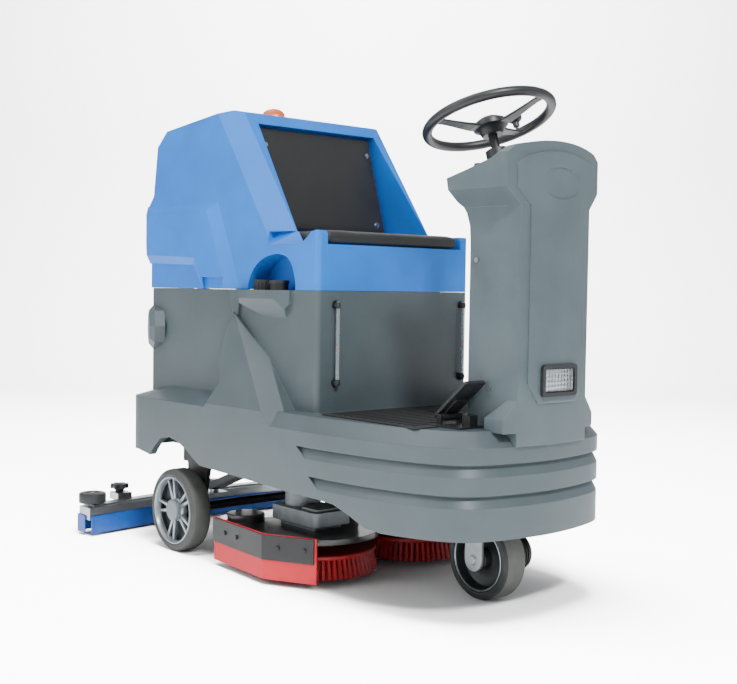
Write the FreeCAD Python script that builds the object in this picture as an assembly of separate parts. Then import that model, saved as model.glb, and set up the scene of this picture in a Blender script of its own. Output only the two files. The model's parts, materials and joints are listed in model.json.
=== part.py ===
import FreeCAD, Part
import math
import os

# Ride-on floor scrubber. Millimetres, +X forward, +Y to the driver's left, +Z up.
# The model is drawn with its origin on the ground under the rear axle and is moved at the
# end so that the origin is the middle of the underside of its overall box.

# ---- overall driving dimensions ------------------------------------------------------
WHEELBASE = 885.0            # rear axle to front drive wheel axle
BODY_HALF = 340.0            # half width of the skirt and bumper
CABIN_HALF = 263.0           # half width of the seat box and the tank above it
SEAT_FRONT = 548.0           # front face of the seat box
REAR_FACE = -248.0           # rear face of the seat box
SKIRT_REAR = -274.0          # rear face of the skirt
NOSE = 1083.0                # front of the bumper
FLOOR_Z = 431.0              # platform under the driver's feet
SEAM_Z = 735.0               # joint between the lower body and the recovery tank
SHELL = 8.0                  # wall of the moulded shells
BUMPER_LOW = 190.0           # underside of the bumper
SKIRT_LOW = 256.0            # underside of the skirt behind the bumper
LEDGE_Z = 397.0              # outer edge of the platform's sloping ledge
LEDGE_IN = 30.0              # how far the ledge leans in
GAP = 0.5                    # rest gap between bodies that part from each other
RUN = 0.05                   # radial clearance of a shaft in its bore
NEAR = 0.3                   # seat gap of a piece that rests beside another

# ---- recovery tank -------------------------------------------------------------------
TANK_TOP_REAR = (-165.0, 1189.0)
TANK_TOP_FRONT = (188.0, 1222.0)
ARM_TOP = 885.0              # top of the arm rests and of the seat cushion
WING_FOOT_X = 424.0          # where the slanted wing meets the arm rest
RAISE = 12.0                 # how far the rear lower panel stands proud
RECESS_HALF = 232.0          # half width of the seat recess
CUSHION_T = 34.0             # thickness of the seat cushion
BACK_TOP = (178.0, 1181.0)   # top of the backrest plane
BACK_FOOT = (238.0, 886.0)   # foot of the backrest plane
BACK_PAD_T = 16.0            # thickness of the backrest pad
LID_LENGTH = 104.0
LID_WIDTH = 320.0
LID_T = 12.0
LID_HINGE = (4.0, 6.0)         # hinge axis of the lid, along and above the tank's top
LID_BARREL = 4.5
LID_PIN = 2.0
BEACON_R = 36.0
BEACON_H = 58.0

# ---- steering column -----------------------------------------------------------------
COLUMN_HALF = 118.0          # half width of the column shaft
HEAD_HALF = 157.0            # half width of the column head
COLUMN_REAR = 925.0          # rear face of the column shaft
COLUMN_FRONT = 1075.0        # front face of the column at its edges
COLUMN_BULGE = 15.0          # how far the front face bulges in the middle
HEAD_LOW = 970.0             # where the head reaches its full width
HEAD_TOP = 1058.0            # top of the head at its sides
CROWN = 20.0                 # rise of the head in the middle
COLUMN_WALL = 12.0
WHEEL_TILT = 19.5            # tilt of the steering wheel, degrees
STEER_X = 865.0              # centre of the steering wheel
STEER_Z = 1147.0
RIM_R = 151.0                # centre line radius of the steering wheel's rim
RIM_TUBE = 12.0
STEER_SHAFT_R = 11.0
SPINNER_ANGLE = 104.0        # place of the spinner knob round the rim, degrees from +X

# ---- wheels --------------------------------------------------------------------------
REAR_WHEEL_R = 115.0
REAR_WHEEL_W = 64.0
REAR_RIM_R = 95.0
REAR_OUTER = 342.0           # outer face of the rear wheels
AXLE_R = 12.5
SPOKES = 5
FRONT_WHEEL_R = 99.0
FRONT_WHEEL_W = 72.0
FRONT_RIM_R = 78.0
LEG_T = 8.0                  # thickness of a fork leg
LEG_W = 55.0                 # width of a fork leg
KINGPIN_R = 20.0
FORK_STACK = 204.0           # underside of the fork crown
SPROCKET_SMALL = 20.0
SPROCKET_BIG = 50.0

# ---- brush deck ----------------------------------------------------------------------
BRUSH_R = 165.0
BRUSH_X = 435.0
BRUSH_Y = 170.0
DECK_RAISE = 15.0            # how far the deck hangs above its working height
PLATE_LOW = 65.0             # underside of the black skirt plates
PLATE_TOP = 128.0
DECK_TOP = 134.0
LINK_LENGTH = 200.0
LINK_FOOT_X = 90.0
LINK_LOW_Z = 190.0
LINK_SPACE = 42.0            # lower link to upper link
LINK_PIN = 6.0
LINK_Y = 62.0

# ---- squeegee ------------------------------------------------------------------------
SQUEEGEE_HALF = 435.0
SQUEEGEE_END_X = -300.0      # front edge of the body at its ends
SQUEEGEE_SWEEP = 40.0        # how far the middle lies behind the ends
SQUEEGEE_DEPTH = 66.0
BLADE_LOW = 8.0
BLADE_T = 4.0
ARM_PIVOT = (-120.0, 176.0)  # hinge of the squeegee arm, x and z
SWIVEL_X = -300.0
KNOB_Y = 285.0
KNOB_X = -396.0
ROLLER_R = 40.0
ROLLER_T = 30.0

V = FreeCAD.Vector
BIG = 3000.0
UP = V(0, 0, 1)


# ---- small tools ---------------------------------------------------------------------
def block(x0, x1, y0, y1, z0, z1):
    """Box between two corners."""
    return Part.makeBox(x1 - x0, y1 - y0, z1 - z0, V(x0, y0, z0))


def rod(radius, start, end):
    """Solid cylinder from one point to another."""
    a = V(*start)
    d = V(*end).sub(a)
    return Part.makeCylinder(radius, d.Length, a, d)


def tube(outer, inner, start, end):
    """Hollow cylinder from one point to another."""
    return rod(outer, start, end).cut(rod(inner, start, end))


def flat(points):
    """Face inside a closed run of straight edges."""
    return Part.Face(Part.makePolygon([V(*p) for p in points] + [V(*points[0])]))


def side_prism(points, y0, y1):
    """Side outline of x, z points, drawn out from y0 to y1."""
    return flat([(x, y0, z) for x, z in points]).extrude(V(0, y1 - y0, 0))


def plan_prism(points, z0, z1):
    """Plan outline of x, y points, drawn out from z0 to z1."""
    return flat([(x, y, z0) for x, y in points]).extrude(V(0, 0, z1 - z0))


def trim(shape, point, normal):
    """Takes away what lies beyond a plane, on the side that its normal points to."""
    turn = FreeCAD.Rotation(UP, V(*normal))
    face = Part.Face(Part.makePolygon([turn.multVec(V(*c)) + V(*point) for c in
                                       ((-BIG, -BIG, 0), (BIG, -BIG, 0), (BIG, BIG, 0),
                                        (-BIG, BIG, 0), (-BIG, -BIG, 0))]))
    return shape.cut(face.extrude(turn.multVec(V(0, 0, BIG))))


def mirrored(shape):
    """The same shape on the other side of the machine."""
    return shape.mirror(V(0, 0, 0), V(0, 1, 0))


def both(shape):
    """A shape and its mirror image, as a list."""
    return [shape, mirrored(shape)]


def joined(shapes):
    """One solid from pieces that touch."""
    first = shapes[0]
    whole = first.fuse(list(shapes[1:])) if len(shapes) > 1 else first
    return whole.removeSplitter()


def group(shapes):
    """Separate solids kept together in one node."""
    return Part.makeCompound(list(shapes))


def rounded(shape, radius, pick):
    """Rounds the edges that a test picks."""
    edges = [e for e in shape.Edges if pick(e)]
    return shape.makeFillet(radius, edges) if edges else shape


def upright(edge):
    """True for a straight vertical edge."""
    box = edge.BoundBox
    return box.XLength < NEAR and box.YLength < NEAR and box.ZLength > 1


def slab(x0, x1, y0, y1, z0, z1, corner):
    """Box with rounded upright corners."""
    return rounded(block(x0, x1, y0, y1, z0, z1), corner, upright)


# ---- lower body ----------------------------------------------------------------------
PLAN = [(500.0, 340.0), (700.0, 330.0), (850.0, 310.0), (950.0, 281.0), (1030.0, 229.0),
        (1068.0, 130.0)]
CORNER_R = 96.0


def plan_wire(inset, z):
    """Plan outline of the skirt and bumper, moved inwards by an inset."""
    side = []
    for i, (x, y) in enumerate(PLAN):
        xa, ya = PLAN[max(i - 1, 0)]
        xb, yb = PLAN[i + 1] if i + 1 < len(PLAN) else (NOSE, 0.0)
        span = math.hypot(xb - xa, yb - ya)
        along = (xb - xa) / span
        across = (ya - yb) / span
        side.append(V(x - inset * across, -(y - inset * along), z))
    side[0] = V(PLAN[0][0], -(BODY_HALF - inset), z)
    points = side + [V(NOSE - inset, 0, z)] + [V(p.x, -p.y, z) for p in reversed(side)]
    front = Part.BSplineCurve()
    front.interpolate(Points=points, InitialTangent=V(1, 0, 0), FinalTangent=V(-1, 0, 0))
    half = BODY_HALF - inset
    rear = SKIRT_REAR + inset
    r = CORNER_R
    bend = r * (1 - math.sqrt(0.5))
    start = PLAN[0][0]
    left = V(start, half, z)
    right = V(start, -half, z)
    edges = [front.toShape(),
             Part.LineSegment(left, V(rear + r, half, z)).toShape(),
             Part.Arc(V(rear + r, half, z), V(rear + bend, half - bend, z),
                      V(rear, half - r, z)).toShape(),
             Part.LineSegment(V(rear, half - r, z), V(rear, r - half, z)).toShape(),
             Part.Arc(V(rear, r - half, z), V(rear + bend, bend - half, z),
                      V(rear + r, -half, z)).toShape(),
             Part.LineSegment(V(rear + r, -half, z), right).toShape()]
    return Part.Wire(edges)


def plan_slab(inset, z0, z1):
    """Upright slab with the plan outline."""
    return Part.Face(plan_wire(inset, z0)).extrude(V(0, 0, z1 - z0))


def plan_loft(inset0, z0, inset1, z1):
    """Slab whose walls lean from one inset to another."""
    return Part.makeLoft([plan_wire(inset0, z0), plan_wire(inset1, z1)], True, True)


GROOVES = ((360.0, 332.0, 566.0), (291.0, 263.0, 612.0))   # top, foot and rear end of each
GROOVE_DEEP = 12.0


def groove(top, foot, rear):
    """Band cut round the bumper: a sharp upper edge and a sloping lower lip."""
    band = plan_slab(-GROOVE_DEEP, foot, top).cut(plan_loft(0, foot, GROOVE_DEEP, top - 4))
    band = band.cut(plan_slab(GROOVE_DEEP, top - 4 - NEAR, top))
    keep = side_prism([(rear, top), (rear + 34, foot), (BIG, foot), (BIG, top)], -BIG, BIG)
    return band.common(keep)


PILLAR_FOOT = (144.0, 462.0)     # rear and front ends of the pillar's foot
PILLAR_TOP = 692.0
PILLAR_LOW = 418.0
PILLAR_SIDE = ((144.0, 406.0), (212.0, 488.0), (178.0, 552.0), (197.0, 673.0),
               (213.0, 667.0), (352.0, 558.0), (462.0, 432.0), (462.0, 398.0))
PILLAR_STRIP = ((168.0, 735.0), (228.0, 735.0), (213.0, 660.0), (197.0, 660.0))
STRIP_OUT = 8.0                  # how far the strip above the pillar stands proud


def pillar():
    """Raised pillar between the skirt and the seat box, with the strip above it, on the right side."""
    out = BODY_HALF
    rise = PILLAR_TOP - PILLAR_LOW
    low = PILLAR_LOW - 60
    outline = [(PILLAR_FOOT[0], low)] + list(PILLAR_SIDE) + [(PILLAR_FOOT[1], low)]
    body = side_prism(outline, -out, -CABIN_HALF + SHELL)
    body = trim(body, (0, -out, PILLAR_LOW + 12), (0, -rise, out - CABIN_HALF - 4))
    # the front flank is bevelled, and so is the foot of the rear one
    body = trim(body, (444, -out, 411), (0.547, -0.55, 0.63))
    foot = block(PILLAR_FOOT[0] - 9, PILLAR_SIDE[1][0], -out - 1, 0, low - 1, PILLAR_SIDE[1][1])
    bevelled = trim(body.common(foot), (144, -out, 406), (-0.383, -0.809, 0.446))
    strip = side_prism(list(PILLAR_STRIP), -CABIN_HALF - STRIP_OUT, -CABIN_HALF + SHELL)
    return joined([body.cut(foot), bevelled, strip])


def arch(clear):
    """Wheel arch outline as a solid right across the machine."""
    points = [(-122 - clear, SKIRT_LOW - 60), (-122 - clear, SKIRT_LOW), (-96 - clear, 285 + clear),
              (-62, 311 + clear), (-20, 320 + clear), (28, 311 + clear), (72, 294 + clear),
              (110 + clear, 272 + clear), (146 + clear, SKIRT_LOW), (146 + clear, SKIRT_LOW - 60)]
    return side_prism(points, -BIG, BIG)


def underside(drop):
    """What lies below the skirt's lower edge, to be cut away."""
    points = [(-BIG, 0), (-BIG, 266 + drop), (-181, 266 + drop), (-118, 257 + drop), (146, 258 + drop),
              (650, 240 + drop), (700, 236 + drop), (742, 222 + drop), (800, 196 + drop),
              (850, BUMPER_LOW + drop), (BIG, BUMPER_LOW + drop), (BIG, 0)]
    return side_prism(points, -BIG, BIG)


def body_solid():
    """Skirt and bumper with the sloping ledge, solid through."""
    return joined([plan_slab(0, BUMPER_LOW - 20, LEDGE_Z), plan_loft(0, LEDGE_Z - NEAR, LEDGE_IN, FLOOR_Z)])


def body_outside():
    """Whole outer form of the lower body."""
    skirt = body_solid()
    rear = PILLAR_FOOT[0]
    haunch = plan_slab(0, LEDGE_Z - 1, 420).common(block(SKIRT_REAR, rear + 30, -BIG, BIG, 0, BIG))
    haunch_top = plan_loft(0, 420 - NEAR, BODY_HALF - CABIN_HALF, 452)
    haunch_top = haunch_top.common(block(SKIRT_REAR, rear + 24, -BIG, BIG, 0, BIG))
    box = block(REAR_FACE, SEAT_FRONT, -CABIN_HALF, CABIN_HALF, FLOOR_Z - 60, SEAM_Z)
    box = rounded(box, 14, upright)
    body = joined([skirt, haunch, haunch_top, box] + both(pillar()))
    body = body.cut(underside(0))
    for top, foot, end in GROOVES:
        body = body.cut(groove(top, foot, end))
    return body.cut(arch(0))


def body_inside():
    """Hollow of the lower body, open below and at the battery bay."""
    low = plan_slab(SHELL + GROOVE_DEEP, 0, LEDGE_Z - SHELL)
    low = low.fuse(plan_slab(SHELL + LEDGE_IN, LEDGE_Z - SHELL - 1, FLOOR_Z - SHELL))
    bay = block(REAR_FACE + SHELL, SEAT_FRONT - SHELL, SHELL - CABIN_HALF, CABIN_HALF - SHELL,
                FLOOR_Z - 60, BIG)
    return low.fuse(bay)


BOSS = (-238.0, 262.0, 619.0)    # corner boss: x, y and z of its centre
BOSS_R = 66.0


def corner_boss():
    """Eight-sided boss on the rear right corner, with a bevelled face."""
    x, y, z = BOSS
    ring = []
    for reach, size in ((0.0, 1.0), (30.0, 1.0), (44.0, 0.74)):
        pts = []
        for i in range(8):
            a = math.radians(22.5 + 45 * i)
            pts.append(V(size * BOSS_R * math.cos(a), size * BOSS_R * math.sin(a), reach))
        ring.append(Part.makePolygon(pts + [pts[0]]))
    boss = Part.makeLoft(ring, True, True)
    turn = FreeCAD.Rotation(UP, V(-0.5, -1, 0))
    boss.Placement = FreeCAD.Placement(V(x + 22, -y + 22, z), turn)
    return boss


POCKET_X = (225.0, 436.0)        # rear and front ends of the filler pocket
POCKET_OUT = 292.0               # how far the pocket stands out from the middle
POCKET_LOW = 716.0               # floor of the pocket
NECK_X = 372.0                   # filler bore
NECK_Y = 250.0
NECK_R = 19.0
CAP_X = 300.0                    # parked cap
CAP_GRIP = 23.5                  # radius of the cap


def pocket_bowl(grow, low):
    """Bowl on the right side, deepest below its front part."""
    x0, x1 = POCKET_X
    out = POCKET_OUT
    plan = [(x0 - grow, -CABIN_HALF + 40), (x0 - grow, -CABIN_HALF - 4),
            (x0 + 34, -out - grow), (x1 - 24, -out - grow), (x1 + grow, -CABIN_HALF - 8),
            (x1 + grow, -CABIN_HALF + 40)]
    return plan_prism(plan, low, SEAM_Z)


def pocket_outside():
    """Outer form of the filler pocket, tapered to a point below."""
    bowl = pocket_bowl(6.0, 655)
    x0, x1 = POCKET_X
    bowl = trim(bowl, (x0 - 6, 0, 712), (-0.42, 0, -0.9))
    bowl = trim(bowl, (x1 + 6, 0, 700), (0.85, 0, -0.52))
    return trim(bowl, (0, -POCKET_OUT - 6, 712), (0, -0.8, -0.6))


def lower_body():
    """Moulded lower body: skirt, bumper, platform and seat box in one shell."""
    body = joined([body_outside(), corner_boss(), pocket_outside()])
    body = body.cut(body_inside())
    body = body.fuse(block(POCKET_X[0] - 16, POCKET_X[1] + 16, -CABIN_HALF, -CABIN_HALF + 48,
                           POCKET_LOW - SHELL, SEAM_Z))
    body = body.cut(pocket_bowl(0.0, POCKET_LOW))
    for x, r in ((NECK_X, NECK_R + 5), (CAP_X, 7.0)):
        body = body.cut(rod(r, (x, -NECK_Y, POCKET_LOW - 28), (x, -NECK_Y, POCKET_LOW + 20)))
    body = body.cut(block(COLUMN_REAR + 30, COLUMN_FRONT - 30, -80, 80, FLOOR_Z - 40, FLOOR_Z + 9))
    for y, low, high in LEVEL_TUBES:
        groove_x = SEAT_FRONT - SHELL / 2
        body = body.cut(block(groove_x, SEAT_FRONT + 1, y - 11, y + 11, low, high))
        for z in (low, high):
            body = body.cut(rod(11, (groove_x, y, z), (SEAT_FRONT + 1, y, z)))
            body = body.cut(rod(9, (SEAT_FRONT - 20, y, z), (SEAT_FRONT + 20, y, z)))
    body = body.cut(block(REAR_FACE - 20, REAR_FACE + SHELL + 4, -120, 120, SEAM_Z - 22, SEAM_Z + 1))
    ears = [hinge_ear(y) for y in (-96, -56, 56, 96)]
    return joined([body] + ears)


HINGE_X = REAR_FACE - 14.0
HINGE_PIN = 5.0


def hinge_ear(y):
    """Ear at the rear of the lower body that holds a tank hinge pin."""
    ear = block(HINGE_X - 9, REAR_FACE + SHELL + 6, y - 5, y + 5, SEAM_Z - 30, SEAM_Z - 10)
    round_end = rod(9, (HINGE_X, y - 5, SEAM_Z - 10), (HINGE_X, y + 5, SEAM_Z - 10))
    bore = rod(HINGE_PIN + RUN, (HINGE_X, y - 6, SEAM_Z - 10), (HINGE_X, y + 6, SEAM_Z - 10))
    return ear.fuse(round_end).cut(bore)


LEVEL_TUBES = ((-205.0, 505.0, 700.0), (237.0, 505.0, 700.0))   # y, foot and top of each
LEVEL_X = SEAT_FRONT + 9.0


def level_tubes():
    """Two clear tubes that show the clean water level."""
    tubes = [tube(5, 3.4, (LEVEL_X, y, low + 9), (LEVEL_X, y, high - 9))
             for y, low, high in LEVEL_TUBES]
    return group(tubes)


def level_fittings():
    """Black elbows that hold the level tubes in the seat box's front wall."""
    parts = []
    for y, low, high in LEVEL_TUBES:
        for z, way in ((low, 1), (high, -1)):
            stem = rod(8.7, (SEAT_FRONT - SHELL - 8, y, z), (LEVEL_X, y, z))
            stub = rod(7, (LEVEL_X, y, z - way * 7), (LEVEL_X, y, z + way * 8))
            parts.append(joined([stem, stub, Part.makeSphere(8.0, V(LEVEL_X, y, z))]))
    return group(parts)


def floor_mat():
    """Ribbed mat on the platform."""
    front = COLUMN_REAR - 3
    mat = slab(SEAT_FRONT + 22, front, -272, 272, FLOOR_Z, FLOOR_Z + 3, 20)
    ribs = [block(x, x + 6, -250, 250, FLOOR_Z + 2, FLOOR_Z + 4.5) for x in range(590, 880, 24)]
    for y, _, _ in LEVEL_TUBES:
        mat = mat.cut(block(SEAT_FRONT, SEAT_FRONT + 24, y - 12, y + 12, FLOOR_Z, FLOOR_Z + 9))
    mat = joined([mat] + ribs)
    pedal_bay = block(PEDAL_X - 40, front + 30, -PEDAL_Y - 52, -PEDAL_Y + 52, FLOOR_Z - 1, FLOOR_Z + 9)
    return mat.cut(pedal_bay)


def filler_neck():
    """Flange and neck of the clean water filler, with a post that holds the parked cap."""
    z = POCKET_LOW
    plate = slab(CAP_X - 32, POCKET_X[1] - 14, -NECK_Y - 22, -NECK_Y + 22, z, z + 5, 12)
    neck = tube(NECK_R + 5, NECK_R, (NECK_X, -NECK_Y, z - 26), (NECK_X, -NECK_Y, z + 44))
    collar = tube(NECK_R + 7, NECK_R, (NECK_X, -NECK_Y, z + 34), (NECK_X, -NECK_Y, z + 44))
    post = rod(7 - RUN, (CAP_X, -NECK_Y, z - SHELL), (CAP_X, -NECK_Y, z + 18))
    bore = rod(NECK_R, (NECK_X, -NECK_Y, z - 40), (NECK_X, -NECK_Y, z + 60))
    return joined([plate.cut(bore), neck, collar, post]).cut(bore)


def filler_cap():
    """Cap of the clean water filler, standing on its post, with grip ribs."""
    z = POCKET_LOW + 5 + NEAR
    top = z + 40
    cap = rod(CAP_GRIP, (CAP_X, -NECK_Y, z), (CAP_X, -NECK_Y, top))
    hollow = rod(7 + NEAR, (CAP_X, -NECK_Y, z - 1), (CAP_X, -NECK_Y, z + 24))
    ribs = []
    for i in range(16):
        a = math.radians(i * 22.5)
        x, y = CAP_X + CAP_GRIP * math.cos(a), -NECK_Y + CAP_GRIP * math.sin(a)
        ribs.append(rod(2, (x, y, z + 6), (x, y, top - 6)))
    return joined([cap.cut(hollow)] + ribs)


# ---- front column --------------------------------------------------------------------
def front_arc(bulge_extra):
    """Plan of the column: straight sides and a bulging front."""
    side = COLUMN_FRONT - 9
    tip = COLUMN_FRONT + COLUMN_BULGE + bulge_extra
    half = HEAD_HALF + 12
    arc = Part.Arc(V(side + bulge_extra, -half, 0), V(tip, 0, 0), V(side + bulge_extra, half, 0))
    back = 800
    edges = [arc.toShape(), Part.LineSegment(V(side + bulge_extra, half, 0), V(back, half, 0)).toShape(),
             Part.LineSegment(V(back, half, 0), V(back, -half, 0)).toShape(),
             Part.LineSegment(V(back, -half, 0), V(side + bulge_extra, -half, 0)).toShape()]
    return Part.Face(Part.Wire(edges)).extrude(V(0, 0, 1400))


def front_outline(inset, low, foot):
    """Front view of the column as a wire of y, z points with an arched top."""
    half = COLUMN_HALF - inset
    head = HEAD_HALF - inset
    top = HEAD_TOP - 14 - inset
    step = HEAD_HALF - COLUMN_HALF
    pts = [(-foot, low), (-half, low + (0 if foot == half else 46)), (-half, HEAD_LOW - step),
           (-head, HEAD_LOW), (-head, top), (-head + 22, top + 16)]
    pts = [q for q, after in zip(pts, pts[1:] + [None]) if q != after]
    left = [V(0, y, z) for y, z in pts]
    right = [V(0, -y, z) for y, z in reversed(pts)]
    crown = Part.Arc(left[-1], V(0, 0, HEAD_TOP + CROWN - inset), right[0]).toShape()
    edges = [Part.LineSegment(a, b).toShape() for a, b in zip(left, left[1:])]
    edges += [crown] + [Part.LineSegment(a, b).toShape() for a, b in zip(right, right[1:])]
    edges.append(Part.LineSegment(right[-1], left[0]).toShape())
    return Part.Face(Part.Wire([e for e in edges if e.Length > NEAR]))


def column_side(grow):
    """Side view of the column: straight shaft, head leaning to the driver, hood."""
    front = COLUMN_FRONT + 60
    rear = COLUMN_REAR + grow
    return side_prism([(front, FLOOR_Z - 40), (front, 1200), (1052, 1200), (1052, HEAD_TOP + 4),
                       (1040 - grow, 1044 - grow), (1022 - grow, 1034 - grow),
                       (950, 1014 - grow), (883 + grow, 997 - grow), (893 + grow, 944),
                       (912 + grow, 918), (922 + grow, 890), (rear, 850),
                       (rear, FLOOR_Z - 40)], -BIG, BIG)


def column_base():
    """Foot that flares out at the front corners and laps down over the bumper's ledge."""
    half = HEAD_HALF - 3
    foot = block(1012, COLUMN_FRONT + 40, -half, half, LEDGE_Z, 506)
    foot = trim(foot, (0, -half, 458), (0, -0.75, 0.66))
    foot = trim(foot, (0, half, 458), (0, 0.75, 0.66))
    foot = trim(foot, (1012, 0, 458), (-0.75, 0, 0.66))
    return foot


PANEL_PROUD = 5.0
APRON_HALF = 119.0           # half width of the apron in front of the ledge
BADGE = (63.0, 36.0, 984.0)      # half width, half height and centre height of the blank oval
LAMP = (59.0, 36.0, 542.0)       # half width, half height and centre height of the headlight


def front_column():
    """Moulded steering column with a proud front panel."""
    form = front_outline(0, FLOOR_Z, COLUMN_HALF).extrude(V(1400, 0, 0))
    body = form.common(column_side(0))
    foot = column_base().cut(body_solid())
    for y0, y1 in ((APRON_HALF, 400), (-400, -APRON_HALF)):
        foot = foot.cut(block(1000, 1200, y0, y1, 0, FLOOR_Z - 4))
    body = joined([body, foot]).common(front_arc(0))
    panel = front_outline(24, 492, 64).extrude(V(1400, 0, 0))
    panel = panel.common(block(1030, 1200, -BIG, BIG, 0, BIG)).common(front_arc(PANEL_PROUD))
    body = joined([body, panel])
    inner = front_outline(COLUMN_WALL, FLOOR_Z, COLUMN_HALF - COLUMN_WALL).extrude(V(1400, 0, 0))
    inner = inner.common(column_side(COLUMN_WALL)).common(front_arc(-COLUMN_WALL))
    inner = inner.common(block(0, BIG, -BIG, BIG, 0, 985))
    body = body.cut(inner)
    body = body.cut(block(COLUMN_REAR + 24, COLUMN_FRONT - 24, -90, 90, 380, 445))
    return body


def oval_recess():
    """Blank oval recess for a badge."""
    pts = []
    for i in range(32):
        a = math.tau * i / 32
        pts.append((BADGE[0] * math.cos(a), BADGE[2] + BADGE[1] * math.sin(a)))
    deep = COLUMN_FRONT + COLUMN_BULGE + PANEL_PROUD - 3
    curve = Part.BSplineCurve()
    curve.interpolate(Points=[V(deep, y, z) for y, z in pts], PeriodicFlag=True)
    return Part.Face(Part.Wire(curve.toShape())).extrude(V(60, 0, 0))


def column_with_openings():
    """Column with its badge recess, lamp opening and steering shaft hole."""
    body = front_column().cut(oval_recess())
    half, tall, z = LAMP
    body = body.cut(slab_x(1040, 1200, half - 6, tall - 6, z, 8))
    body = body.cut(placed(rod(DASH_HOLE, (0, 0, -260), (0, 0, -60))))
    body = body.cut(dash_space())
    for y in DASH_SWITCHES:
        body = body.cut(rod(6.2, dash_point(y, -30), dash_point(y, 30)))
    return body


def slab_x(x0, x1, half, tall, z, corner):
    """Box facing forward with rounded corners."""
    shape = block(x0, x1, -half, half, z - tall, z + tall)
    return rounded(shape, corner, lambda e: e.BoundBox.XLength > 1)


DASH_HOLE = 30.0
DASH_SWITCHES = (-95.0, 95.0)    # key and stop button, y
DASH_SLOPE = math.atan2(1014.0 - 997.0, 950.0 - 883.0)
DASH_T = 3.0
DASH_LENGTH = 118.0


def on_dash(shape):
    """Moves a shape drawn on a flat dash to the sloping one."""
    turn = FreeCAD.Rotation(V(0, 1, 0), -math.degrees(DASH_SLOPE))
    moved = shape.copy()
    moved.Placement = FreeCAD.Placement(V(883, 0, 997), turn).multiply(moved.Placement)
    return moved


def dash_point(y, height):
    """Point on the dash beside the steering wheel, at a height above it."""
    along = 42.0
    return (883 + along * math.cos(DASH_SLOPE) - height * math.sin(DASH_SLOPE), y,
            997 + along * math.sin(DASH_SLOPE) + height * math.cos(DASH_SLOPE))


def dash_space():
    """Shallow seat in the column for the dash panel."""
    return on_dash(slab(8, 8 + DASH_LENGTH, -138, 138, -DASH_T, 40, 10))


def dash_panel():
    """Dark control panel on the dash, with keys, a display and the steering collar."""
    plate = on_dash(slab(8.3, 7.7 + DASH_LENGTH, -137.7, 137.7, -DASH_T, 0, 10))
    screen = on_dash(slab(70, 112, -60, 60, -1, 1.5, 4))
    keys = [on_dash(slab(82, 100, y - 9, y + 9, -1, 2, 3)) for y in (-116, -88, 88, 116)]
    collar = placed(tube(COLLAR_R, STEER_SHAFT_R + RUN, (0, 0, -170), (0, 0, -78)))
    plate = joined([plate, screen] + keys)
    hole = placed(rod(COLLAR_R - 1, (0, 0, -300), (0, 0, -20)))
    plate = plate.cut(hole)
    for y in DASH_SWITCHES:
        plate = plate.cut(rod(6.2, dash_point(y, -20), dash_point(y, 20)))
    return joined([plate, collar])


COLLAR_R = 27.0


def headlight_housing():
    """Black bezel of the headlight."""
    half, tall, z = LAMP
    face = COLUMN_FRONT + COLUMN_BULGE + PANEL_PROUD
    mouth = slab_x(face - 3, face + 8, half - 9, tall - 9, z, 6)
    front = slab_x(face - 2, face + 6, half, tall, z, 10).cut(mouth)
    box = slab_x(1052, face, half - 7, tall - 7, z, 8).cut(slab_x(1056, face + 1, half - 10, tall - 10, z, 6))
    body = joined([front, box])
    return body.cut(front_arc(PANEL_PROUD).common(block(face - 4, face, -BIG, BIG, 0, BIG)).cut(
        slab_x(1040, 1200, half - 6, tall - 6, z, 8)))


def headlight_lens():
    """Clear faceted lens."""
    half, tall, z = LAMP
    face = COLUMN_FRONT + COLUMN_BULGE + PANEL_PROUD
    lens = slab_x(face - 6, face + 2, half - 10 - NEAR, tall - 10 - NEAR, z, 5)
    bars = [block(face, face + 3.5, y - 3, y + 3, z - tall + 14, z + tall - 14) for y in range(-40, 41, 10)]
    return joined([lens] + bars)


def placed(shape):
    """Moves a shape drawn about the wheel's own axis to the steering wheel."""
    turn = FreeCAD.Rotation(V(0, 1, 0), -WHEEL_TILT)
    moved = shape.copy()
    moved.Placement = FreeCAD.Placement(V(STEER_X, 0, STEER_Z), turn).multiply(moved.Placement)
    return moved


def spoke(angle):
    """Spoke from the hub to the rim, wider at the rim."""
    pts = [V(26, -15, -34), V(RIM_R - 2, -26, -5), V(RIM_R - 2, 26, -5), V(26, 15, -34)]
    top = [V(26, -15, -22), V(RIM_R - 2, -26, 3), V(RIM_R - 2, 26, 3), V(26, 15, -22)]
    inner = Part.makePolygon([pts[0], pts[3], top[3], top[0], pts[0]])
    outer = Part.makePolygon([pts[1], pts[2], top[2], top[1], pts[1]])
    arm = Part.makeLoft([inner, outer], True, True)
    return arm.rotate(V(0, 0, 0), UP, angle)


SPOKE_ANGLES = (-104.0, 14.0, 104.0)
HUB_R = 42.0


def steering_wheel():
    """Rim and spokes moulded in one."""
    rim = Part.makeTorus(RIM_R, RIM_TUBE)
    arms = []
    for a in SPOKE_ANGLES:
        arm = spoke(a)
        arms.append(arm)
    boss = tube(HUB_R, STEER_SHAFT_R, (0, 0, -40), (0, 0, -16))
    seat = SPINNER_SEAT
    a = math.radians(SPINNER_ANGLE)
    x, y = RIM_R * math.cos(a), RIM_R * math.sin(a)
    clamp = rod(11, (x, y, 0), (x, y, seat))
    bore = rod(4, (x, y, -2), (x, y, seat + 1))
    return placed(joined([rim, boss, clamp] + arms).cut(bore))


SPINNER_SEAT = 16.0


def steering_hub():
    """Domed horn cap and its ring in the middle of the wheel."""
    ring = rod(HUB_R - 2, (0, 0, -16 + NEAR), (0, 0, -6))
    dome = Part.makeSphere(70, V(0, 0, -62)).common(block(-60, 60, -60, 60, -6, 30))
    dome = dome.common(rod(HUB_R - 5, (0, 0, -10), (0, 0, 40)))
    return placed(joined([ring, dome]))


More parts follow.
